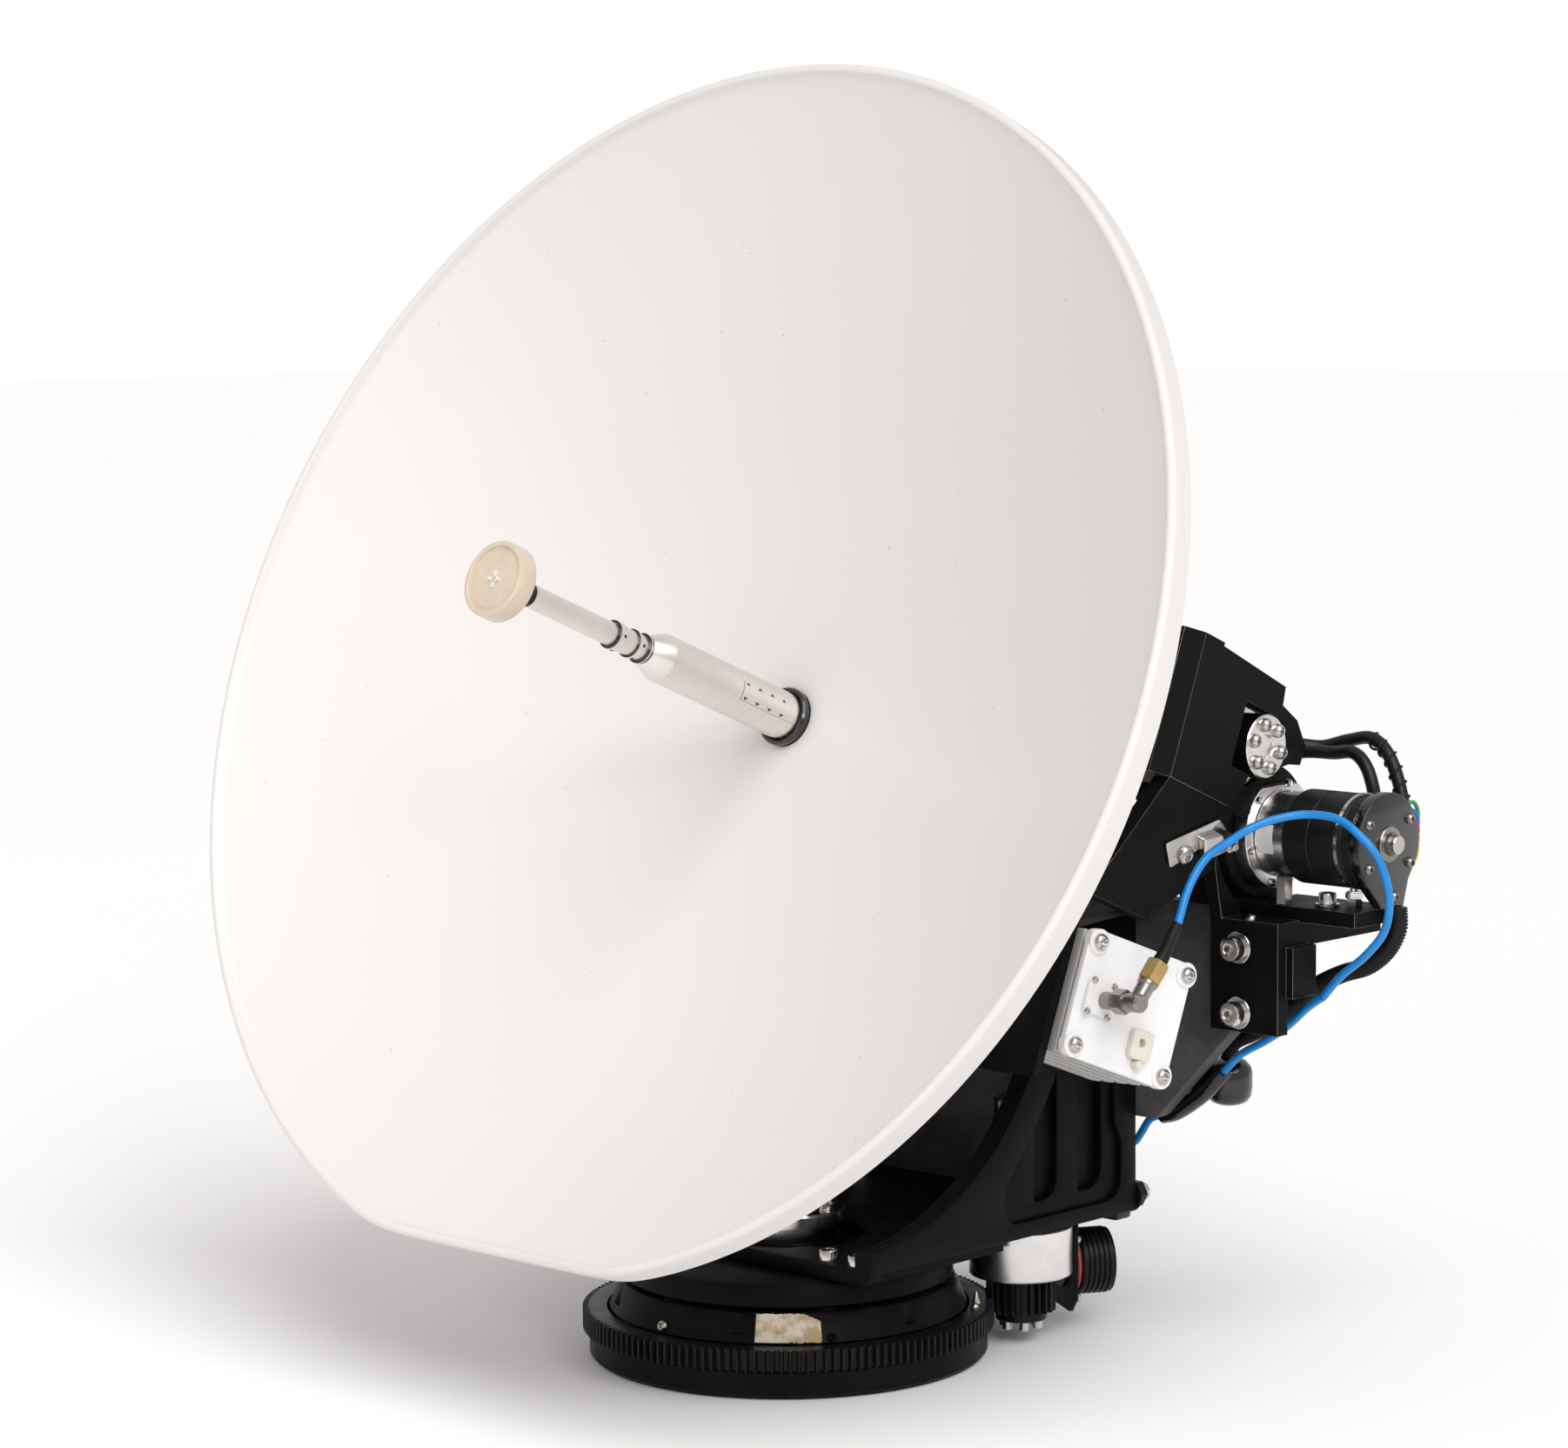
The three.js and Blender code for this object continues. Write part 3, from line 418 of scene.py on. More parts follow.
def make(name, bm, body, material, replaces=(), at=PART, bevel=0.0, angle=32, merge=1e-4, worn=None):
    """Finishes a bmesh drawn in millimetres as a visible piece that rides on a body."""
    bmesh.ops.remove_doubles(bm, verts=bm.verts, dist=merge)
    bmesh.ops.transform(bm, matrix=at, verts=bm.verts)
    bmesh.ops.recalc_face_normals(bm, faces=bm.faces)
    mesh = bpy.data.meshes.new(name)
    bm.to_mesh(mesh)
    bm.free()
    for polygon in mesh.polygons:
        polygon.use_smooth = True
    mesh.set_sharp_from_angle(angle=rad(angle))
    piece = bpy.data.objects.new(name, mesh)
    bpy.context.scene.collection.objects.link(piece)
    mesh.materials.append(M[material])
    if bevel:
        edge = piece.modifiers.new("edges", "BEVEL")
        edge.width = bevel * MM
        edge.segments = 2
        edge.limit_method = "ANGLE"
        edge.angle_limit = rad(angle)
        edge.use_clamp_overlap = True
        if worn:
            mesh.materials.append(M[worn])
            edge.material = 1
    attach(piece, body)
    if replaces:
        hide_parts(*replaces)
    return piece


def refine(node, material, bevel=0.4, worn=None):
    """A CAD node again, with its flat faces whole and its edges broken."""
    bm = bmesh.new()
    bm.from_mesh(frame["nodes"][node].data)
    bmesh.ops.remove_doubles(bm, verts=bm.verts, dist=2e-5)
    bmesh.ops.dissolve_limit(bm, angle_limit=rad(1.5), verts=bm.verts, edges=bm.edges)
    here = Matrix.Identity(4)
    return make(
        node + "_shown", bm, BODY_OF[node], material, (node,), here, bevel, merge=1e-7, worn=worn,
    )


# ---------------------------------------------------------------- fasteners, each standing on a point
def add_cap_screw(bm, at, axis, head=8.5, height=5.0, socket=4.0, washer=0.0):
    """A socket cap screw with a rounded head, on its washer if it has one."""
    m = placed(at, axis)
    base = 0.0
    if washer:
        w = washer / 2
        add_turned(bm, [(0, 0), (w - 0.2, 0), (w, 0.2), (w, 0.9), (w - 0.2, 1.1), (0, 1.1)], 40, m)
        base = 1.1
    r, s, top = head / 2, socket / 2, base + height
    shell = [(0, base), (r, base), (r, top - 0.45), (r - 0.15, top - 0.15), (r - 0.5, top), (s + 0.3, top)]
    add_turned(
        bm, [*shell, (s, top - 0.3), (s * 0.98, top - height * 0.6), (0, top - height * 0.6 - 0.6)], 40, m,
    )


def add_button_screw(bm, at, axis, head=5.6, height=1.9, socket=2.2):
    m = placed(at, axis)
    r, s = head / 2, socket / 2
    dome = [(0, 0), (r, 0), (r, 0.35), (r * 0.9, height * 0.6), (r * 0.7, height * 0.88), (s + 0.35, height)]
    add_turned(bm, [*dome, (s, height * 0.92), (s * 0.95, height * 0.35), (0, height * 0.3)], 32, m)


def add_hex(bm, at, axis, across=8.0, height=4.0, stud=0.0, turn=0.0):
    """A hexagonal nut or bolt head, with the end of its stud standing out of it."""
    m = placed(at, axis) @ Matrix.Rotation(rad(turn), 4, "Z")
    corner = across / 2 / math.cos(math.pi / 6)
    for low, high, r in ((0, height - 0.5, corner), (height - 0.5, height, corner - 0.45)):
        add_prism(
            bm, [(r * math.cos(TAU * i / 6), r * math.sin(TAU * i / 6)) for i in range(6)], low, high, m,
        )
    if stud:
        r = stud / 2
        add_turned(
            bm,
            [(0, height - 1), (r, height - 1), (r, height + 1.6), (r - 0.3, height + 1.9), (0, height + 1.9)],
            24, m,
        )


def add_rod(bm, at, axis, radius, length, chamfer=0.3, segments=64):
    end = [
        (0, 0), (radius - chamfer, 0), (radius, chamfer), (radius, length - chamfer),
        (radius - chamfer, length),
    ]
    add_turned(bm, [*end, (0, length)], segments, placed(at, axis))


def circle(cx, cy, r, count=64):
    return [(cx + r * math.cos(TAU * i / count), cy + r * math.sin(TAU * i / count)) for i in range(count)]


def turned_piece(name, profile, body, material, replaces=(), at=PART, segments=128, bevel=0.0):
    bm = bmesh.new()
    add_turned(bm, profile, segments)
    return make(name, bm, body, material, replaces, at, bevel)


# ---------------------------------------------------------------- stationary base, ring gear and bearing ring
def make_base():
    plate = [(0, 0), (72, 0), (73.5, 1.5), (73.5, 9.5), (73, 10), (0, 10)]
    turned_piece("base_plate_shown", plate, "base", "black", ["base_plate"], segments=256)

    bm = bmesh.new()
    add_plate(bm, gear_outline(150, 1.0, 50), [circle(0, 0, 67, 256)], 10.3, 18, bevel=0.12)
    make("ring_gear_shown", bm, "base", "gear", ["azimuth_ring_gear"], angle=25)

    make_bearing_ring()
    race = [(43.8, 18.3), (49.7, 18.3), (49.7, 27.1), (49.3, 27.5), (44.2, 27.5), (43.8, 27.1)]
    turned_piece("bearing_outer_shown", race, "base", "shiny", ["azimuth_bearing_outer"])
    stator = [(0, 10.3), (13, 10.3), (13, 42.2), (12.7, 42.5), (0, 42.5)]
    turned_piece("slip_ring_stator_shown", stator, "base", "steel", ["slip_ring_stator"])

    bm = bmesh.new()
    for k in range(6):
        a = rad(k * 60 + 27)
        add_button_screw(bm, (57 * math.cos(a), 57 * math.sin(a), 28.4), Z, 6.4, 1.5, 2.6)
    add_button_screw(bm, ring_point(-32.8, 65.4, 19.9), ring_point(-32.8, 1, 0), 3.6, 1.3, 1.6)
    make("ring_screws", bm, "base", "black")
    bm = bmesh.new()
    add_button_screw(bm, ring_point(-90, 65.2, 20.6), ring_point(-90, 1, 0.1), 4.2, 1.6, 1.8)
    add_button_screw(bm, ring_point(33, 69.5, 18), Z, 3.2, 1.4, 1.3)
    make("brass_screws", bm, "base", "tin")
    bm = bmesh.new()
    add_turned(bm, [(0, 0), (1.7, 0), (1.7, 0.8), (0.2, 4.6), (0, 4.6)], 24, placed(ring_point(38, 69.5, 18)))
    make("index_pointer", bm, "base", "shiny")
    make_torn_label()


def ring_point(angle, radius, height):
    return Vector((radius * math.cos(rad(angle)), radius * math.sin(rad(angle)), height))


def make_torn_label():
    """A blank scrap of brown paper tape stuck on the bearing ring's cone."""
    bm = bmesh.new()
    columns, rows = 36, 8
    random.seed(7)
    ragged = [random.uniform(-0.5, 0.5) for _ in range(columns + 1)]
    grid = []
    for i in range(columns + 1):
        share = i / columns
        low = 18.7 + 0.7 * ragged[i] * (share > 0.55)
        high = 28.2 - 2.6 * max(0, share - 0.75) / 0.25 + 0.5 * ragged[columns - i]
        column = []
        for j in range(rows + 1):
            height = low + (min(high, 28.3) - low) * j / rows
            cone = 66 - (height - 18.3) * 4.5 / 10.2
            column.append(bm.verts.new(ring_point(-57 + 21 * share, cone + 0.14, height)))
        grid.append(column)
    for a, b in zip(grid, grid[1:]):
        for j in range(rows):
            bm.faces.new([a[j], b[j], b[j + 1], a[j + 1]])
    bmesh.ops.solidify(bm, geom=bm.faces[:], thickness=0.1)
    make("torn_tape", bm, "base", "paper")


def make_bearing_ring():
    """The cone above the ring gear, with round scallops cut into its edge."""
    def reach(angle, height):
        cone = 66 - (height - 18.3) * 4.5 / 10.2
        if height <= 20.8:
            return cone
        off = (math.degrees(angle) + 3 + 30) % 60 - 30
        across = 67 * math.sin(rad(off))
        if abs(across) >= 4.2:
            return cone
        return min(cone, 67 * math.cos(rad(off)) - math.sqrt(4.2 ** 2 - across * across))

    bm = bmesh.new()
    count = 1080
    levels = [18.3, 20.79, 20.81, 24, 27.9, 28.3, 28.5]
    inset = [0, 0, 0, 0, 0, 0.25, 0.75]
    columns = []
    for i in range(count):
        a = TAU * i / count
        ring = [(50, 18.3)] + [(reach(a, h) - d, h) for h, d in zip(levels, inset)] + [(50, 28.5)]
        columns.append([bm.verts.new((r * math.cos(a), r * math.sin(a), h)) for r, h in ring])
    for a, b in zip(columns, columns[1:] + columns[:1]):
        for k in range(len(a)):
            n = (k + 1) % len(a)
            bm.faces.new([a[k], b[k], b[n], a[n]])
    make("bearing_ring_shown", bm, "base", "black", ["bearing_ring"], angle=28)


# ---------------------------------------------------------------- turntable and fork
def make_turntable():
    disc = [
        (21, 20), (33.5, 20), (33.5, 30), (60.6, 30), (61, 30.4), (61, 36.4), (60.4, 37.8), (58.8, 38.7),
        (21, 38.7),
    ]
    turned_piece("turntable_shown", disc, "azimuth", "black", ["turntable"], segments=256)
    race = [(33.8, 19), (43.2, 19), (43.2, 29.2), (42.9, 29.5), (33.8, 29.5)]
    turned_piece("bearing_inner_shown", race, "azimuth", "shiny", ["azimuth_bearing_inner"])
    rotor = [(15, 22), (20.7, 22), (20.7, 42.6), (15, 42.6)]
    turned_piece("slip_ring_rotor_shown", rotor, "azimuth", "black", ["slip_ring_rotor"])

    bm = bmesh.new()
    outline = [(-66.5, -31), (66.5, -31), (66.5, 46), (29.5, 46), (23.5, 111), (-66.5, 111)]
    add_plate(bm, rounded_outline(outline, 2.5), [circle(0, 0, 28.5, 96)], 39, 44.5, bevel=0.45)
    make("fork_base_shown", bm, "azimuth", "black", ["fork_base"])

    cap = [(0, 43), (18, 43), (18, 49.5), (21.5, 49.5), (21.5, 53.4), (20.8, 54.2), (0, 54.2)]
    turned_piece("slip_ring_cap_shown", cap, "azimuth", "shiny", ["slip_ring_cap"])
    bm = bmesh.new()
    for k in range(6):
        a = rad(k * 60 + 10)
        add_button_screw(bm, (17 * math.cos(a), 17 * math.sin(a), 54.2), Z, 5.2, 1.6, 2.2)
    for x, y in ((-58, -25), (-44, -25), (44, -25), (58, -25), (-58, 38), (58, 38), (-58, 6), (58, 6)):
        add_cap_screw(bm, (x, y, 44.5), Z, 7, 4, 3.4)
    make("turntable_screws", bm, "azimuth", "shiny")


def make_cheek(name, side):
    """One side plate of the fork: its concave front edge, the window and two deeper slots."""
    centre = (-39, 155)
    start = math.degrees(math.acos((63 - centre[0]) / 102))
    front = arc(*centre, 102, start, -88.5, 48)
    outline = [(-36, 43.4), (-31, 43.4), (-31, 44.8), (111, 44.8), (111, 158), *front]
    corner = [(36, 65.5), *bend((36, 65.5), (33.6, 50.8), (43.5, 50.8))]
    rear = bend((93, 50.8), (102.4, 50.8), (102.4, 60))
    window = [
        *corner, (93, 50.8), *rear, (102.4, 72.5), (98.6, 79.5), (98.6, 146), (76.6, 146), (73.5, 125),
        (63.6, 100.4), (51.7, 83.2),
    ]
    slots = []
    for low, high, tops in (
        (55, 68, [(68, 111.3), (63.6, 100.4), (55, 88)]), (80, 93.5, [(93.5, 146), (80, 146)]),
    ):
        slots.append(
            [(low, 56.5), (high - 8.5, 56.5), *bend((high - 8.5, 56.5), (high, 56.5), (high, 65)), *tops]
        )
    bm = bmesh.new()
    layers = (([], 66.8, 69.2, 0.3), (slots, 69.1, 72.5, 0.35), ([window], 72.4, 75.0, 0.45))
    for holes, low, high, bevel in layers:
        if side < 0:
            low, high = -high, -low
        add_plate(bm, outline, holes, low, high, bevel=bevel)
    make(name + "_shown", bm, "azimuth", "black", [name], SIDE)


def make_fork():
    make_cheek("cheek_right", 1)
    make_cheek("cheek_left", -1)
    half = [(39, 66), (80.5, 66), (80.5, 84), (117, 119), (150.4, 119), (150.4, 111), (164, 111)]
    outline = [*half, *[(z, -x) for z, x in half[::-1]]]
    bm = bmesh.new()
    add_plate(bm, rounded_outline(outline, 2.0), [], 111.3, 119, bevel=0.5)
    make("rear_plate_shown", bm, "azimuth", "plate", ["rear_plate"], BACK)
    make_rear_connector()
    for name in ("arm_right", "arm_left"):
        refine(name, "black", 0.6)
    for name, low in (("elevation_bearing_right", 100), ("elevation_bearing_left", -128)):
        high = low + 28
        race = [(10.1, low), (15.6, low), (16, low + 0.4), (16, high - 0.4), (15.6, high), (10.1, high)]
        turned_piece(name + "_shown", race, "azimuth", "shiny", [name], EL_SIDE)
    bm = bmesh.new()
    add_rod(bm, (71, 111.2, 50), Y, 6.4, 0.9, 0.2, 40)
    add_hex(bm, (71, 112.1, 50), Y, 9.2, 5)
    make("rear_nut", bm, "azimuth", "gear")
    bm = bmesh.new()
    add_rod(bm, (71, 116.8, 50), Y, 3.4, 4.2, 0.9, 40)
    make("rear_bolt_shown", bm, "azimuth", "shiny", ["rear_bolt"])
    bm = bmesh.new()
    for x in (-56, 56):
        for z in (60, 104, 148):
            add_cap_screw(bm, (x, 119, z), Y, 7, 4, 3.4, 8.5)
    for x in (-104.5, 104.5):
        for z in (128, 142, 156):
            add_cap_screw(bm, (x, 119, z), Y, 7, 4, 3.4, 8.5)
    make("rear_plate_screws", bm, "azimuth", "steel")


def make_rear_connector():
    """The junction box behind the rear plate, and its glossy right-angle plug with a bronze collar."""
    bm = bmesh.new()
    add_box(bm, (28, 119.3, 84), (80, 147, 112))
    make(
        "junction_box_shown", bm, "azimuth", "black", ["junction_box"], bevel=0.8,
        worn="worn",
    )
    bm = bmesh.new()
    for x in (32, 76):
        for z in (88, 108):
            add_cap_screw(bm, (x, 147, z), Y, 4.5, 2.2, 2)
    make("junction_box_screws", bm, "azimuth", "steel")
    dome = [
        (0, 85), (4.5, 85.2), (7, 86.4), (8.4, 88.6), (8.8, 91.5), (8.8, 97.5), (8.1, 99.6), (6.2, 101.6),
        (4.4, 102.6), (0, 103),
    ]
    bm = bmesh.new()
    add_turned(bm, dome, 96, placed((101, 134, 0)))
    body = [
        (0, 86), (7.6, 86), (8, 86.6), (8, 90.2), (7.7, 90.6), (7.7, 91.4), (8, 91.8), (8, 98), (6.5, 101),
        (0, 102),
    ]
    add_turned(bm, body, 96, placed((0, 134, 94), X))
    make("rear_connector_shown", bm, "azimuth", "gloss", ["rear_connector"])
    collar = [
        (0, 80.3), (6.4, 80.3), (6.4, 81.6), (7.5, 82), (7.7, 82.4), (7.7, 85.6), (7.3, 86), (7.3, 86.4),
        (0, 86.4),
    ]
    bm = bmesh.new()
    add_turned(bm, collar, 96, placed((0, 134, 94), X))
    make("rear_connector_collar", bm, "azimuth", "bronze")


# ---------------------------------------------------------------- azimuth drive and deck connector
def make_azimuth_drive():
    bm = bmesh.new()
    add_plate(bm, gear_outline(24, 1.0, 50 + 180 + 7.5), [], 12, 24.6, bevel=0.12)
    add_turned(bm, [(0, 8.6), (9.3, 8.6), (9.6, 8.9), (9.6, 12), (0, 12)], 96)
    add_turned(bm, [(0, 24.6), (5, 24.6), (5, 25.4), (0, 25.4)], 48)
    make("azimuth_pinion_shown", bm, "azimuth_pinion", "gear", ["azimuth_pinion"], GEARBOX, angle=25)
    bm = bmesh.new()
    for k in range(6):
        a = rad(k * 60 + 20)
        add_rod(bm, (6.6 * math.cos(a), 6.6 * math.sin(a), 5.2), Z, 1.9, 3.5, 0.3, 24)
    make("pinion_bolts", bm, "azimuth_pinion", "shiny", at=GEARBOX)

    shell = [(0, 25.7), (18.6, 25.7), (19.2, 26.3), (19.2, 43.7), (18.7, 44.2), (0, 44.2)]
    turned_piece(
        "azimuth_gearbox_shown", shell, "azimuth", "turned", ["azimuth_gearbox"], GEARBOX, 160,
    )
    refine("gearbox_plate", "black", 0.4)
    can = [
        (0, 50.3), (10.4, 50.3), (10.4, 54), (10, 54.4), (10, 55), (10.4, 55.4), (10.4, 84), (9.9, 84.6),
        (9.9, 91.4),
        (9.3, 92), (0, 92),
    ]
    turned_piece("azimuth_motor_shown", can, "azimuth", "gloss", ["azimuth_motor"], GEARBOX)
    bm = bmesh.new()
    for k in range(4):
        a = rad(k * 90 + 45)
        add_cap_screw(bm, (14.4 * math.cos(a), 14.4 * math.sin(a), 50), Z, 5.5, 3, 2.6)
    make("gearbox_screws", bm, "azimuth", "steel", at=GEARBOX)

    outward = Vector((math.cos(rad(58.6)), math.sin(rad(58.6)), 0))
    connector = about(Z * 25.5 * MM, outward, Z)
    refine("connector_bracket", "black", 0.4)
    thread = [(0, 105), (9.2, 105), (9.2, 108.3), (11.1, 108.3), (11.1, 110.9), (12.1, 111.2)]
    for k in range(6):
        h = 111.8 + k * 2
        thread += [(12.5, h), (12.5, h + 0.7), (11.7, h + 1.1), (11.7, h + 1.6)]
    thread += [(12.1, 124), (10.4, 124), (10, 123.6), (10, 116), (0, 116)]
    turned_piece(
        "deck_connector_shown", thread, "azimuth", "gear", ["deck_connector"], connector,
    )
    bm = bmesh.new()
    for k in range(7):
        r, a = (0, 0) if k == 6 else (5.4, TAU * k / 6)
        add_rod(bm, (r * math.cos(a), r * math.sin(a), 116), Z, 0.9, 6, 0.4, 20)
    make("connector_pins", bm, "azimuth", "gold", at=connector)
    seal = [(10.9 + 0.85 * math.cos(a), 109.6 + 1.0 * math.sin(a)) for a in [TAU * i / 16 for i in range(16)]]
    turned_piece(
        "connector_seal", [(r + 0.4, h) for r, h in seal], "azimuth", "red", at=connector,
    )
    bm = bmesh.new()
    for side in (-1, 1):
        for height in (-11, 11):
            add_button_screw(bm, (height, side * 12.2, 108), Z, 4, 1.5, 1.8)
    make("connector_screws", bm, "azimuth", "steel", at=connector)


# ---------------------------------------------------------------- elevation drive
def make_elevation_drive():
    refine("motor_bracket", "black", 0.5, worn="worn")
    for node, height in (("bracket_screw_1", 126.5), ("bracket_screw_2", 150.5)):
        bm = bmesh.new()
        add_cap_screw(bm, (128, 104.7, height), -Y, 9, 5.2, 4.3, 11.8)
        make(node + "_shown", bm, "azimuth", "shiny", [node])
    make_shelf_fasteners()

    mount = [(11, 111.4), (24.6, 111.4), (25, 111.8), (25, 119.5), (24.5, 120), (11, 120)]
    turned_piece(
        "motor_mount_ring_shown", mount, "azimuth", "black", ["motor_mount_ring"],
        MOTOR_SIDE,
    )
    rim = [(a, min(b, 17.5)) for a, b in circle(0, 0, 20.5, 120)]
    bm = bmesh.new()
    add_plate(bm, rim, [circle(0, 0, 4, 32)], 120.3, 126, bevel=0.35)
    make("motor_flange_shown", bm, "azimuth", "turned", ["elevation_motor_flange"], MOTOR_SIDE)
    bm = bmesh.new()
    for k in range(6):
        a = rad(k * 60 + 15)
        add_cap_screw(bm, (18.6 * math.cos(a), 18.6 * math.sin(a), 125.6), Z, 2.9, 1.7, 1.3)
    make("motor_flange_screws", bm, "azimuth", "shiny", at=MOTOR_SIDE)

    front = [(0, 126.3), (15.8, 126.3), (16, 126.5), (16, 139.4), (0, 139.4)]
    turned_piece("motor_front", front, "azimuth", "turned", at=MOTOR_SIDE, segments=160)
    can = [
        (0, 139.2), (16.6, 139.2), (17.3, 139.9), (17.3, 150.4), (17, 150.7), (17, 151.4), (17.3, 151.7),
        (17.3, 165),
        (16.9, 165.5), (16.7, 169.7), (0, 169.7),
    ]
    turned_piece(
        "elevation_motor_shown", can, "azimuth", "rubber", ["elevation_motor"], MOTOR_SIDE,
        160,
    )
    band = [(16.8, 162.6), (17.6, 162.8), (17.6, 164.2), (16.8, 164.4)]
    turned_piece("motor_band", band, "azimuth", "shiny", at=MOTOR_SIDE)
    patch = [circle(0, 0, 16.06, 120)[k] for k in range(54, 68)]
    bm = bmesh.new()
    for (a, b), (c, d) in zip(patch, patch[1:]):
        bm.faces.new([bm.verts.new(p) for p in ((a, b, 127.2), (c, d, 127.2), (c, d, 134.5), (a, b, 134.5))])
    bmesh.ops.remove_doubles(bm, verts=bm.verts, dist=1e-3)
    bmesh.ops.solidify(bm, geom=bm.faces[:], thickness=0.08)
    make("motor_label", bm, "azimuth", "label", at=MOTOR_SIDE)

    outline = arc(0, 0, 18.5, -20, 200, 48) + [(-13, -14), (-3, -23.5), (9, -23.5), (12, -14)]
    bm = bmesh.new()
    add_plate(bm, outline, [], 170, 175, bevel=0.5)
    make("motor_end_shown", bm, "azimuth", "gloss", ["motor_end_plate"], MOTOR_SIDE)
    ring = [(3.6, 174.8), (6.6, 174.8), (6.6, 175.5), (6.2, 175.9), (4.4, 175.9), (4, 175.5), (3.6, 175.3)]
    turned_piece("motor_end_ring", ring, "azimuth", "gunmetal", at=MOTOR_SIDE)
    stub = [(0, 174.8), (3.5, 174.8), (3.5, 179.1), (3.1, 179.5), (0, 179.5)]
    turned_piece("motor_end_shaft", stub, "azimuth", "steel", at=MOTOR_SIDE)
    bm = bmesh.new()
    for a, b in ((-12.5, 8), (12.5, 8), (-12.5, -8), (12.5, -8), (3, -19.5)):
        add_button_screw(bm, (a, b, 175), Z, 4, 1.5, 1.8)
    make("motor_end_screws", bm, "azimuth", "gunmetal", at=MOTOR_SIDE)

    bm = bmesh.new()
    phase = -51.7
    pinion = gear_outline(20, 1.0, phase + 180 + 9)
    add_plate(bm, pinion, [], 85, 97, bevel=0.12)
    add_rod(bm, (0, 0, 95), Z, 3.5, 25, 0.5)
    make(
        "elevation_pinion_shown", bm, "elevation_pinion", "shiny", ["elevation_pinion"], MOTOR_SIDE,
        angle=25,
    )
    teeth = []
    for k in range(70):
        turn = (phase + k * 360 / 70 + 78) % 360
        if turn > 108:
            teeth.append((turn, [(21 * math.cos(rad(turn - 78)), 21 * math.sin(rad(turn - 78)))]))
        else:
            flanks = gear_outline(70, 1.0, phase)[k * 12:k * 12 + 12]
            teeth.append((turn, flanks))
    outline = [p for _, points in sorted(teeth) for p in points]
    bm = bmesh.new()
    add_plate(bm, outline, [circle(0, 0, 10, 64)], 86, 96, bevel=0.12)
    name = "elevation_sector_gear"
    make(name + "_shown", bm, "elevation", "shiny", [name], EL_SIDE, angle=25)


def make_shelf_fasteners():
    """Screws and nuts standing on the motor bracket's shelf."""
    bm = bmesh.new()
    add_hex(bm, (135.5, 122, 160.6), Z, 5.6, 15, turn=10)
    add_cap_screw(bm, (151.4, 126.8, 165.4), Z, 6.5, 4, 3.2, 9)
    add_hex(bm, (158, 134, 165.4), Z, 5.5, 2.6, turn=15)
    add_hex(bm, (158, 134, 168.2), Z, 5.5, 2.6, 3, turn=40)
    add_button_screw(bm, (131, 108, 160.6), Z, 4.4, 1.8, 1.8)
    make("shelf_fasteners", bm, "azimuth", "shiny")


# ---------------------------------------------------------------- cradle and its hubs
def make_cradle():
    refine("cradle_plate", "black", 0.5)
    for node in ("cradle_side_right", "cradle_side_left"):
        refine(node, "black", 0.35, worn="worn")
    for node, side in (("elevation_shaft_right", 1), ("elevation_shaft_left", -1)):
        shaft = [(0, 82), (9.7, 82), (9.7, 130.5), (11.2, 130.5), (11.6, 130.9), (11.6, 139.4), (0, 139.4)]
        profile = [(r, side * h) for r, h in shaft]
        turned_piece(node + "_shown", profile, "elevation", "black", [node], EL_SIDE)
        face = [
            (0, 139.2), (11.6, 139.2), (11.6, 140.6), (11.2, 141), (4.4, 141), (4, 140.6), (3.8, 139.9),
            (0, 139.7),
        ]
        turned_piece(
            node + "_face", [(r, side * h) for r, h in face], "elevation", "shiny", at=EL_SIDE,
        )
        bm = bmesh.new()
        for k in range(6):
            a = rad(k * 60 - 20)
            add_button_screw(bm, (8 * math.cos(a), 8 * math.sin(a), side * 141), Z * side, 5.2, 2.6, 2.2)
        make(node + "_screws", bm, "elevation", "steel", at=EL_SIDE)


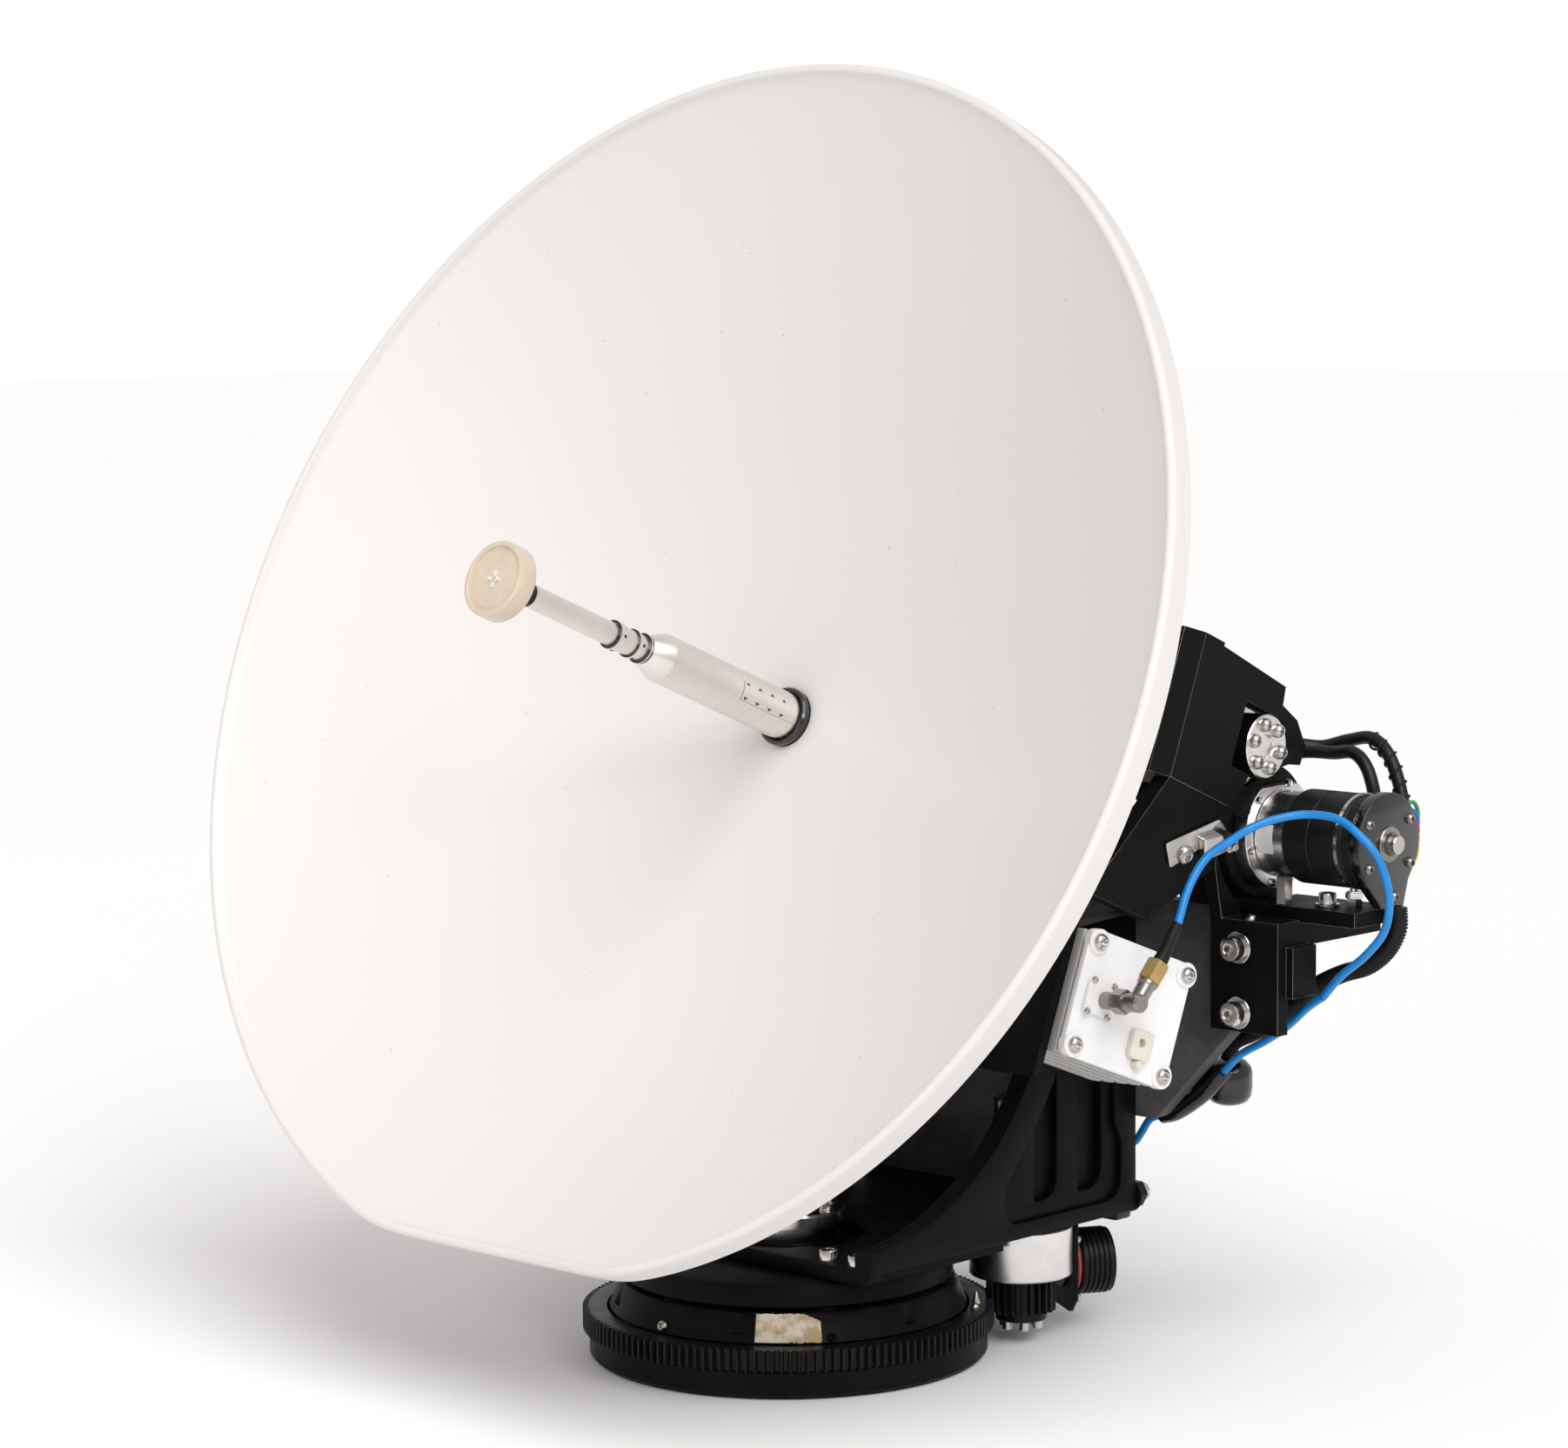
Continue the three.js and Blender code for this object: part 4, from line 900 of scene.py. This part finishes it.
# ---------------------------------------------------------------- reflector
def make_reflector():
    """The painted bowl with its rolled rim, cut off straight below."""
    bore = 10.8
    radius, chord, depth, skin, lip = 225.0, 217.4, 76.0, 2.2, 9.5
    focal = radius * radius / (4 * depth)

    def sag(r):
        return r * r / (4 * focal) - depth

    def reach(angle):
        down = -math.sin(angle)
        if down <= 0.2:
            return radius
        return radius * (1 + (radius * down / chord) ** 170) ** (-1 / 170)

    bm = bmesh.new()
    columns = []
    for i in range(720):
        a = TAU * i / 720
        edge = reach(a)
        crest = sag(edge) + 0.5
        section = [(bore, sag(bore))]
        section += [
            (bore + (edge - 5 - bore) * k / 26, sag(bore + (edge - 5 - bore) * k / 26)) for k in range(1, 27)
        ]
        section += [(edge - 3.4, sag(edge - 3.4) + 0.12)]
        section += [
            (edge - 1.9 + 1.9 * math.cos(rad(t)), crest - 1.9 + 1.9 * math.sin(rad(t)))
            for t in range(130, -1, -13)
        ]
        section += [
            (edge, crest - 5), (edge, -lip + 0.3), (edge - 0.4, -lip), (edge - 2, -lip),
            (edge - 2.4, -lip + 0.4),
        ]
        section += [(edge - 2.4, crest - 5.2)]
        inner = edge - 3.6
        section += [
            (inner + (bore - inner) * k / 14, sag(inner + (bore - inner) * k / 14) - skin) for k in range(15)
        ]
        columns.append([bm.verts.new((r * math.cos(a), r * math.sin(a), h)) for r, h in section])
    for a, b in zip(columns, columns[1:] + columns[:1]):
        for k in range(len(a)):
            n = (k + 1) % len(a)
            bm.faces.new([a[k], b[k], b[n], a[n]])
    make("reflector_shown", bm, "elevation", "dish", ["reflector"], DISH, angle=50)

    back = -78.5
    hub = [
        (13, back - 1), (45, back + 2.6), (46, back + 2), (46, back - 5), (34, back - 10), (34, -111),
        (47.5, -113),
        (48, -113.4), (48, -118.7), (13, -118.7),
    ]
    turned_piece(
        "reflector_hub_shown", hub, "elevation", "casting", ["reflector_hub"], DISH, bevel=0.3,
    )
    bm = bmesh.new()
    for k in range(6):
        a = rad(k * 60 + 30)
        add_cap_screw(bm, (41 * math.cos(a), 41 * math.sin(a), -123), -Z, 7, 4, 3.4, 8.5)
    make("hub_screws", bm, "elevation", "steel", at=DISH)
    gasket = [
        (9.35, -79), (10.5, -79), (10.5, -74.6), (11, -74.3), (11.15, -73.6), (11, -72.6), (10.4, -71.9),
        (9.8, -71.8),
        (9.35, -72.2),
    ]
    turned_piece(
        "feed_gasket_shown", gasket, "elevation", "gloss", ["feed_gasket"], DISH, 96,
    )


# ---------------------------------------------------------------- feed and polarisation drive
def make_feed():
    tube = [(0, -142), (8.85, -142), (8.85, -4.8), (8.7, -4.5), (5.5, 3.2), (5.3, 3.4), (0, 3.4)]
    turned_piece("feed_tube_shown", tube, "feed", "satin", ["feed_tube"], DISH)
    collars = [
        (0, 3.7), (4.6, 3.7), (4.6, 4.8), (5.5, 4.8), (5.6, 4.9), (5.6, 5.5), (5.5, 5.6), (4.6, 5.6),
        (4.6, 9.7), (5.2, 9.7),
        (5.3, 9.8), (5.3, 11.1), (5.2, 11.2), (4.6, 11.2), (4.6, 17.3), (5.15, 17.3), (5.25, 17.4),
        (5.25, 20.9),
        (5.15, 21), (0, 21),
    ]
    turned_piece("feed_collars_shown", collars, "feed", "satin", ["feed_collars"], DISH)
    # Thin gloss black bands on the rear end of each collar band: painted shade, standing in for the shadow and the
    # dark reflection at the collar steps.
    for k, (edge, low, high) in enumerate(((5.62, 5.3, 5.62), (5.32, 10.85, 11.22), (5.27, 20.6, 21.02))):
        rim = [
            (4.3, low), (edge - 0.06, low), (edge, low + 0.06), (edge, high - 0.08), (edge - 0.08, high),
            (4.3, high),
        ]
        turned_piece(f"feed_painted_shade_rim_{k}", rim, "feed", "gloss", at=DISH, segments=96)
    bm = bmesh.new()
    for height, radius in ((8.1, 4.6), (18.6, 5.25)):
        for a in (2, 92, 182, 272):
            out = Vector((math.cos(rad(a)), math.sin(rad(a)), 0))
            add_rod(bm, out * (radius - 0.6) + Z * height, out, 0.62, 0.68, 0.1, 20)
    make("collar_pins", bm, "feed", "rubber", at=DISH)
    guide = [(0, 21.3), (4.2, 21.3), (4.2, 72.9), (0, 72.9)]
    turned_piece("feed_waveguide_shown", guide, "feed", "satin", ["feed_waveguide"], DISH)
    ring = [(0, 63), (4.25, 63), (4.3, 63.1), (4.3, 65.2), (0, 65.2)]
    turned_piece("feed_ring", ring, "feed", "rubber", at=DISH, segments=64)
    hat = [
        (0, 73.2), (12.9, 73.2), (13.45, 73.4), (13.7, 73.9), (13.7, 79.9), (13.5, 80.5), (13, 80.8),
        (12.2, 80.8),
        (11.8, 80.55), (11.6, 79.9), (10.7, 79.75), (10.5, 79.9), (0, 79.9),
    ]
    turned_piece("subreflector_shown", hat, "feed", "cream", ["subreflector"], DISH)
    bm = bmesh.new()
    for size in ((3.1, 0.6), (0.6, 3.1)):
        add_box(bm, (-size[0], -size[1], 79.8), (size[0], size[1], 80.35))
    add_rod(bm, (0, 0, 79.8), Z, 1.3, 0.55, 0.2, 32)
    make("hat_cross", bm, "feed", "nylon", at=DISH)
    make_feed_marks()

    bm = bmesh.new()
    add_plate(bm, gear_outline(24, 1.4, 0), [circle(0, 0, 9.15, 64)], -132, -126, bevel=0.12)
    make(
        "polarisation_gear_shown", bm, "feed", "aluminium", ["polarisation_gear"], DISH,
        angle=25,
    )
    reach = 25.2
    bm = bmesh.new()
    add_plate(bm, [(x + reach, y) for x, y in gear_outline(12, 1.4, 195)], [], -132, -126, bevel=0.12)
    add_rod(bm, (reach, 0, -146), Z, 2.4, 15, 0.4)
    name = "polarisation_pinion"
    make(name + "_shown", bm, name, "shiny", [name], DISH, angle=25)
    refine("polarisation_bracket", "black", 0.4)
    can = [
        (2.8, -172), (10.4, -172), (11, -171.4), (11, -168), (10.7, -167.7), (10.7, -167), (11, -166.7),
        (11, -139.8),
        (10.5, -139.3), (2.8, -139.3),
    ]
    motor = DISH @ Matrix.Translation((reach, 0, 0))
    turned_piece(
        "polarisation_motor_shown", can, "elevation", "gloss", ["polarisation_motor"], motor,
    )


def make_feed_marks():
    """Thin alignment marks wrapped on the feed tube near the dish."""
    bm = bmesh.new()

    def patch(points, radius=8.89):
        bm.faces.new(
            [bm.verts.new((radius * math.cos(rad(a)), radius * math.sin(rad(a)), h)) for a, h in points]
        )

    def strip(a0, a1, h0, h1):
        steps = max(1, int((a1 - a0) / 6))
        for k in range(steps):
            s, e = a0 + (a1 - a0) * k / steps, a0 + (a1 - a0) * (k + 1) / steps
            patch([(s, h0), (e, h0), (e, h1), (s, h1)])

    for height in (-43.2, -49.8, -56.5, -63.1):
        patch([(17, height - 1.1), (17, height + 1.1), (25, height)])
        patch([(-12.5, height - 1.2), (-20, height), (-12.5, height + 1.2)])
    strip(-22.5, -21.7, -71.5, -41)
    strip(-22.5, 24.5, -41.2, -40.95)
    bmesh.ops.solidify(bm, geom=bm.faces[:], thickness=0.06)
    make("feed_marks", bm, "feed", "ink", at=DISH)


# ---------------------------------------------------------------- converter box with its right-angle plug
BOX = DISH @ Matrix.Translation((124, -53, -123.8)) @ Matrix.Rotation(rad(-11.5), 4, "Y")


def make_converter():
    h, w = 46, 49.5
    bm = bmesh.new()
    add_box(bm, (-40, -h + 1.6, -w + 1.8), (-3.3, -1.6, -1.8))
    for k in range(5):
        deep = -39.6 + k * 7.4
        add_box(bm, (deep, -h + 0.6, -w + 0.6), (deep + 5.2, -0.6, -0.6))
    make(
        "converter_box_shown", bm, "elevation", "casting", ["converter_box"], BOX, bevel=0.45,
    )

    bm = bmesh.new()
    side = space((0, 0, 0), (0, 1000, 0), (0, 0, 1000), (1000, 0, 0))
    outline = rounded_outline([(-h, -w), (0, -w), (0, 0), (-h, 0)], 3.2)
    add_plate(bm, outline, [], -3, 0, side, bevel=0.5)
    ears = [(y, z) for y in (-4.3, -h + 4.3) for z in (-4.3, -w + 3)]
    for y, z in ears:
        add_rod(bm, (-3, y, z), X, 4.6, 3.9, 0.35, 48)
    make("converter_cover_shown", bm, "elevation", "enamel", ["converter_cover"], BOX)
    bm = bmesh.new()
    for y, z in ears:
        add_button_screw(bm, (0.9, y, z), X, 6, 2, 2.4)
    for y, z in ((-29.2, -14.2), (-29.2, -4.8), (-17.8, -14.2), (-17.8, -4.8)):
        add_button_screw(bm, (2.2, y, z), X, 2.6, 1.1, 1)
    make("converter_screws", bm, "elevation", "steel", at=BOX)
    make_tie_base()

    bm = bmesh.new()
    add_box(bm, (0.2, -29.5, -15.5), (2.2, -17.5, -3.5))
    make("jack_flange", bm, "elevation", "enamel", ["coax_jack"], BOX, bevel=0.5)
    jack = (0, -23.5, -11.5)
    bm = bmesh.new()
    add_rod(bm, (2, *jack[1:]), X, 3.1, 6.6, 0.2)
    make("jack_neck", bm, "elevation", "gunmetal", at=BOX)
    corner = Vector((19, *jack[1:]))
    top = Vector((19, 5.6, -21.7))
    riser = (top - corner).normalized()
    bm = bmesh.new()
    add_hex(bm, (8.4, *jack[1:]), X, 7.8, 6.1, turn=12)
    body = [(0, 14), (3.4, 14), (3.4, 21.4), (2.6, 22.4), (0, 22.4)]
    add_turned(bm, body, 64, placed(jack, X))
    stem = [(0, 0), (3.2, 0), (3.2, 7.2), (3.6, 7.5), (3.6, 9), (0, 9)]
    add_turned(bm, stem, 64, placed(corner, riser))
    make("coax_elbow_shown", bm, "elevation", "gunmetal", ["coax_elbow"], BOX)
    bm = bmesh.new()
    add_hex(bm, corner + riser * 9, riser, 7.8, 8, turn=20)
    make("coax_nut_shown", bm, "elevation", "gold", ["coax_nut"], BOX)
    make_boot(corner + riser * 16.4, riser)


def make_boot(start, riser):
    """The tapered black boot between the gold nut and the blue lead."""
    end = BOX.inverted() @ (Vector(COAX_LOOP[0]) * MM)
    ahead = BOX.inverted().to_3x3() @ (Vector(COAX_LOOP[1]) - Vector(COAX_LOOP[0])) * MM
    end += ahead.normalized() * 1.5
    points = [start, start + riser * 4, start.lerp(end, 0.7), end]
    bm = bmesh.new()
    add_tube(bm, smooth_path(points, 8), lambda t: 2.9 - 1.1 * t, 32)
    make("coax_boot", bm, "elevation", "rubber", at=BOX)


def make_tie_base():
    """A cream nylon base for a cable tie, with its hole and a small post below it."""
    bm = bmesh.new()
    side = space((0, 0, 0), (0, 1000, 0), (0, 0, 1000), (1000, 0, 0))
    outline = rounded_outline([(-39.5, -37.6), (-28.6, -37.6), (-28.6, -27.8), (-39.5, -27.8)], 2.2)
    add_plate(bm, outline, [circle(-33.2, -32.5, 1.5, 32)], 0.1, 2.8, side, bevel=0.6)
    add_rod(bm, (0.1, -41.2, -33.2), X, 1.7, 3.4, 0.4, 32)
    make("tie_base", bm, "elevation", "nylon", at=BOX)


# ---------------------------------------------------------------- leads along fixed paths
def lead(name, points, radius, body, material, replaces=(), sides=20, per_span=10):
    bm = bmesh.new()
    add_tube(bm, smooth_path(points, per_span), radius, sides)
    return make(name, bm, body, material, replaces, angle=60)


def wrap(name, points, radius, pitch, strand, body, material):
    """A spiral wrap round a lead."""
    path = smooth_path(points, 12)
    lengths = [0.0]
    for a, b in zip(path, path[1:]):
        lengths.append(lengths[-1] + (b - a).length)
    coil = []
    normal = (path[1] - path[0]).orthogonal().normalized()
    count = int(lengths[-1] / pitch * 14)
    k = 0
    for i in range(count + 1):
        s = lengths[-1] * i / count
        while k < len(path) - 2 and lengths[k + 1] < s:
            k += 1
        ahead = (path[k + 1] - path[k]).normalized()
        normal = (normal - ahead * ahead.dot(normal)).normalized()
        side = ahead.cross(normal)
        point = path[k] + ahead * (s - lengths[k])
        a = TAU * s / pitch
        coil.append(point + (normal * math.cos(a) + side * math.sin(a)) * (radius + strand * 0.5))
    bm = bmesh.new()
    add_tube(bm, coil, strand, 8)
    return make(name, bm, body, material, angle=60)


COAX_LOOP = [
    (148, 43.5, 167), (146.5, 52, 180), (146.5, 62, 189.5), (148, 74, 194.5), (149.5, 82, 197.8),
    (154, 89.5, 200.7),
    (162, 98, 202.6), (173, 102.5, 201.6), (182.5, 103, 196.5), (189, 106, 188), (191, 109.5, 175),
    (187.5, 112, 162),
    (179, 112.5, 152), (167, 114, 143), (157, 117, 134),
]
COAX_TAIL = [
    (157, 117, 134), (147, 121, 128.4), (135, 124.6, 119.6), (125, 124.6, 113), (113.5, 125, 106.6),
    (107, 123, 99.5),
    (100, 122, 92), (92, 122, 86), (85, 122, 81.8), (79, 122, 80), (73, 122, 77.5), (68.5, 122.5, 72),
    (64, 124, 67.5),
    (58, 127, 66), (52, 131, 70), (50, 133, 77), (50, 133.5, 83.8),
]


def make_leads():
    bm = bmesh.new()
    add_tube(bm, smooth_path(COAX_LOOP, 12), 1.5, 24)
    for v in bm.verts:
        v.co *= MM
    bmesh.ops.recalc_face_normals(bm, faces=bm.faces)
    mesh = bpy.data.meshes.new("coax_loop_shown")
    bm.to_mesh(mesh)
    bm.free()
    mesh.polygons.foreach_set("use_smooth", [True] * len(mesh.polygons))
    piece = bpy.data.objects.new("coax_loop_shown", mesh)
    bpy.context.scene.collection.objects.link(piece)
    mesh.materials.append(M["blue"])
    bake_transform(piece)
    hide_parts("coax_lead")
    lead("coax_tail_shown", COAX_TAIL, 1.5, "azimuth", "blue", ["coax_lead"], 24)

    lead("coax_sleeve", COAX_TAIL[5:10], 3.4, "azimuth", "gloss")

    upper = [
        (114, 160, 219), (121, 165, 218.4), (130, 168.5, 221), (141, 168, 222.5), (150, 166, 217),
        (156, 165, 205),
        (160, 163, 190), (160, 160, 176), (156, 158, 166.5),
    ]
    lead("motor_lead_shown", upper, 2.5, "azimuth", "cable", ["motor_lead"])
    wrap("motor_lead_wrap", upper[3:], 2.5, 5.5, 0.5, "azimuth", "rubber")
    second = [
        (112, 150, 216), (122, 154, 217.5), (131.7, 157, 217.4), (140.2, 157.5, 218), (147, 156.5, 213),
        (151, 156, 203),
        (153, 157, 190), (153, 158, 176), (152, 156, 166.5),
    ]
    lead("second_lead", second, 2.5, "azimuth", "cable")
    lower = [
        (174, 139, 165.9), (174, 139, 158), (170.5, 137.5, 150), (163, 136, 143.6), (152, 135, 139.6),
        (141, 134.5, 134),
        (130, 134, 125.5), (120, 134, 117.8), (112, 134, 113.4), (105.5, 134, 110.4), (101.8, 134, 107.4),
        (101, 134, 102),
    ]
    lead("signal_lead_shown", lower, 3.0, "azimuth", "cable", ["signal_lead"])
    wrap("signal_lead_sleeve", lower, 3.0, 1.1, 0.3, "azimuth", "rubber")

    tints = ("wire_green", "wire_blue", "wire_red", "wire_orange", "wire_yellow")
    for k, tint in enumerate(tints):
        y, z = MOTOR_AXIS.y / MM, MOTOR_AXIS.z / MM
        top = z + 12 - k * 3
        path = [
            (170, y + 15, top), (172, y + 19, top + 1), (172.5, y + 21, top - 4), (170, y + 19.5, top - 11),
            (164, y + 16.5, z - 7),
        ]
        lead("wire_" + str(k + 1), path, 0.75, "azimuth", tint, sides=12)


def make_clip():
    """The steel clip plate on the cradle's skirt, with its screw, clamp block, tie and nut."""
    origin = DISH @ Vector((140, 4, 0))
    out = DISH.to_3x3() @ Vector((0.931, -0.364, 0)) / MM
    along = DISH.to_3x3() @ Vector((-0.364, -0.931, 0)) / MM
    skirt = space(origin, along, out.cross(along), out)
    flip = 1 if (DISH.to_3x3() @ Vector((0, 0, 1))).dot(out.cross(along)) > 0 else -1
    on = lambda s, w, h=0.0: Vector((s, flip * w, h))
    bm = bmesh.new()
    plate = [(22.0, -140.8), (5.5, -159.6), (8.0, -166.5), (29.1, -149.6)]
    add_plate(bm, rounded_outline([on(s, w).xy for s, w in plate], 1.2), [], 0.2, 1.2, bevel=0.2)
    make("cable_clip_shown", bm, "elevation", "steel", ["cable_clip"], skirt)
    bm = bmesh.new()
    add_button_screw(bm, on(22.4, -152.7, 1.1), Z, 7, 2.4, 2.8)
    add_hex(bm, on(11.8, -171.5, 0.1), Z, 5.5, 2.6, 3, turn=20)
    make("clip_screws", bm, "elevation", "steel", at=skirt)
    block = [(14.6, -154.3), (9.5, -161.9), (14.2, -168.7), (21.2, -160.6)]
    bm = bmesh.new()
    add_plate(bm, rounded_outline([on(s, w).xy for s, w in block], 1.5), [], 1.1, 4.4, bevel=0.5)
    make("clip_block", bm, "elevation", "steel", at=skirt)
    bm = bmesh.new()
    add_box(bm, tuple(on(8, -166.6, 0.1)), tuple(on(11, -163.6, 5)))
    make("clip_tie", bm, "elevation", "rubber", at=skirt, bevel=0.4)


# ---------------------------------------------------------------- floor, light and camera
def make_stage():
    """A large near-white floor, a bright even surround and soft lamps above and to the camera's right."""
    floor_mesh = bpy.data.meshes.new("floor")
    bm = bmesh.new()
    bmesh.ops.create_grid(bm, x_segments=2, y_segments=2, size=12.0)
    bm.to_mesh(floor_mesh)
    bm.free()
    floor = bpy.data.objects.new("floor", floor_mesh)
    floor.location.z = -0.0004
    bpy.context.scene.collection.objects.link(floor)
    pale = Nodes("floor_pale", (0.97, 0.97, 0.97), 1.0, **{"Specular IOR Level": 0.0})
    pale.set(pale.shader, {"Base Color": pale.mix(pale.noise(3), (0.97, 0.97, 0.97), (0.96, 0.96, 0.96))})
    floor_mesh.materials.append(pale.material)

    make_light()


def make_light():
    """An even white surround with one broad soft sun from the right and two weak lamps for glints."""
    world = bpy.data.worlds.new("studio")
    world.use_nodes = True
    tree = world.node_tree
    surround = tree.nodes["Background"]
    surround.inputs["Color"].default_value = (1, 0.965, 0.955, 1)
    surround.inputs["Strength"].default_value = 0.60
    backdrop = tree.nodes.new("ShaderNodeBackground")
    backdrop.inputs["Color"].default_value = (1, 1, 1, 1)
    backdrop.inputs["Strength"].default_value = 1.0
    seen = tree.nodes.new("ShaderNodeLightPath")
    either = tree.nodes.new("ShaderNodeMixShader")
    tree.links.new(seen.outputs["Is Camera Ray"], either.inputs["Fac"])
    tree.links.new(surround.outputs["Background"], either.inputs[1])
    tree.links.new(backdrop.outputs["Background"], either.inputs[2])
    tree.links.new(either.outputs["Shader"], tree.nodes["World Output"].inputs["Surface"])
    bpy.context.scene.world = world
    bpy.context.scene.view_settings.view_transform = "Standard"
    aim = Vector((0, 0.02, 0.22))

    def add_lamp(name, kind, place, energy, **settings):
        data = bpy.data.lights.new(name, kind)
        data.energy = energy
        for key, value in settings.items():
            setattr(data, key, value)
        lamp = bpy.data.objects.new(name, data)
        lamp.location = place
        lamp.rotation_euler = (Vector(place) - aim).to_track_quat("Z", "Y").to_euler()
        bpy.context.scene.collection.objects.link(lamp)

    add_lamp("sun", "SUN", (1.6, -0.7, 2.3), 1.75, angle=rad(50))
    add_lamp("key", "AREA", (1.7, -1.1, 1.3), 5, shape="SQUARE", size=0.5)
    add_lamp("fill", "AREA", (0.2, -1.9, 0.9), 4, shape="SQUARE", size=0.8)


def make_camera():
    az, el, roll = rad(43.63), rad(6.01), rad(-0.52)
    back = Vector((math.sin(az) * math.cos(el), -math.cos(az) * math.cos(el), math.sin(el)))
    right = Vector((math.cos(az), math.sin(az), 0))
    up = back.cross(right)
    tilted = right * math.cos(roll) + up * math.sin(roll)
    lens = bpy.data.cameras.new("camera")
    lens.lens = 36 * 5000 / 1802
    lens.sensor_width = 36
    camera = bpy.data.objects.new("camera", lens)
    m = Matrix((tilted, back.cross(tilted), back)).transposed().to_4x4()
    m.translation = (1.08830, -1.14118, 0.39842)
    camera.matrix_world = m
    bpy.context.scene.collection.objects.link(camera)
    bpy.context.scene.camera = camera


make_camera()
make_leads()
make_base()
make_turntable()
make_fork()
make_azimuth_drive()
make_elevation_drive()
make_cradle()
make_reflector()
make_feed()
make_converter()
make_clip()
make_stage()
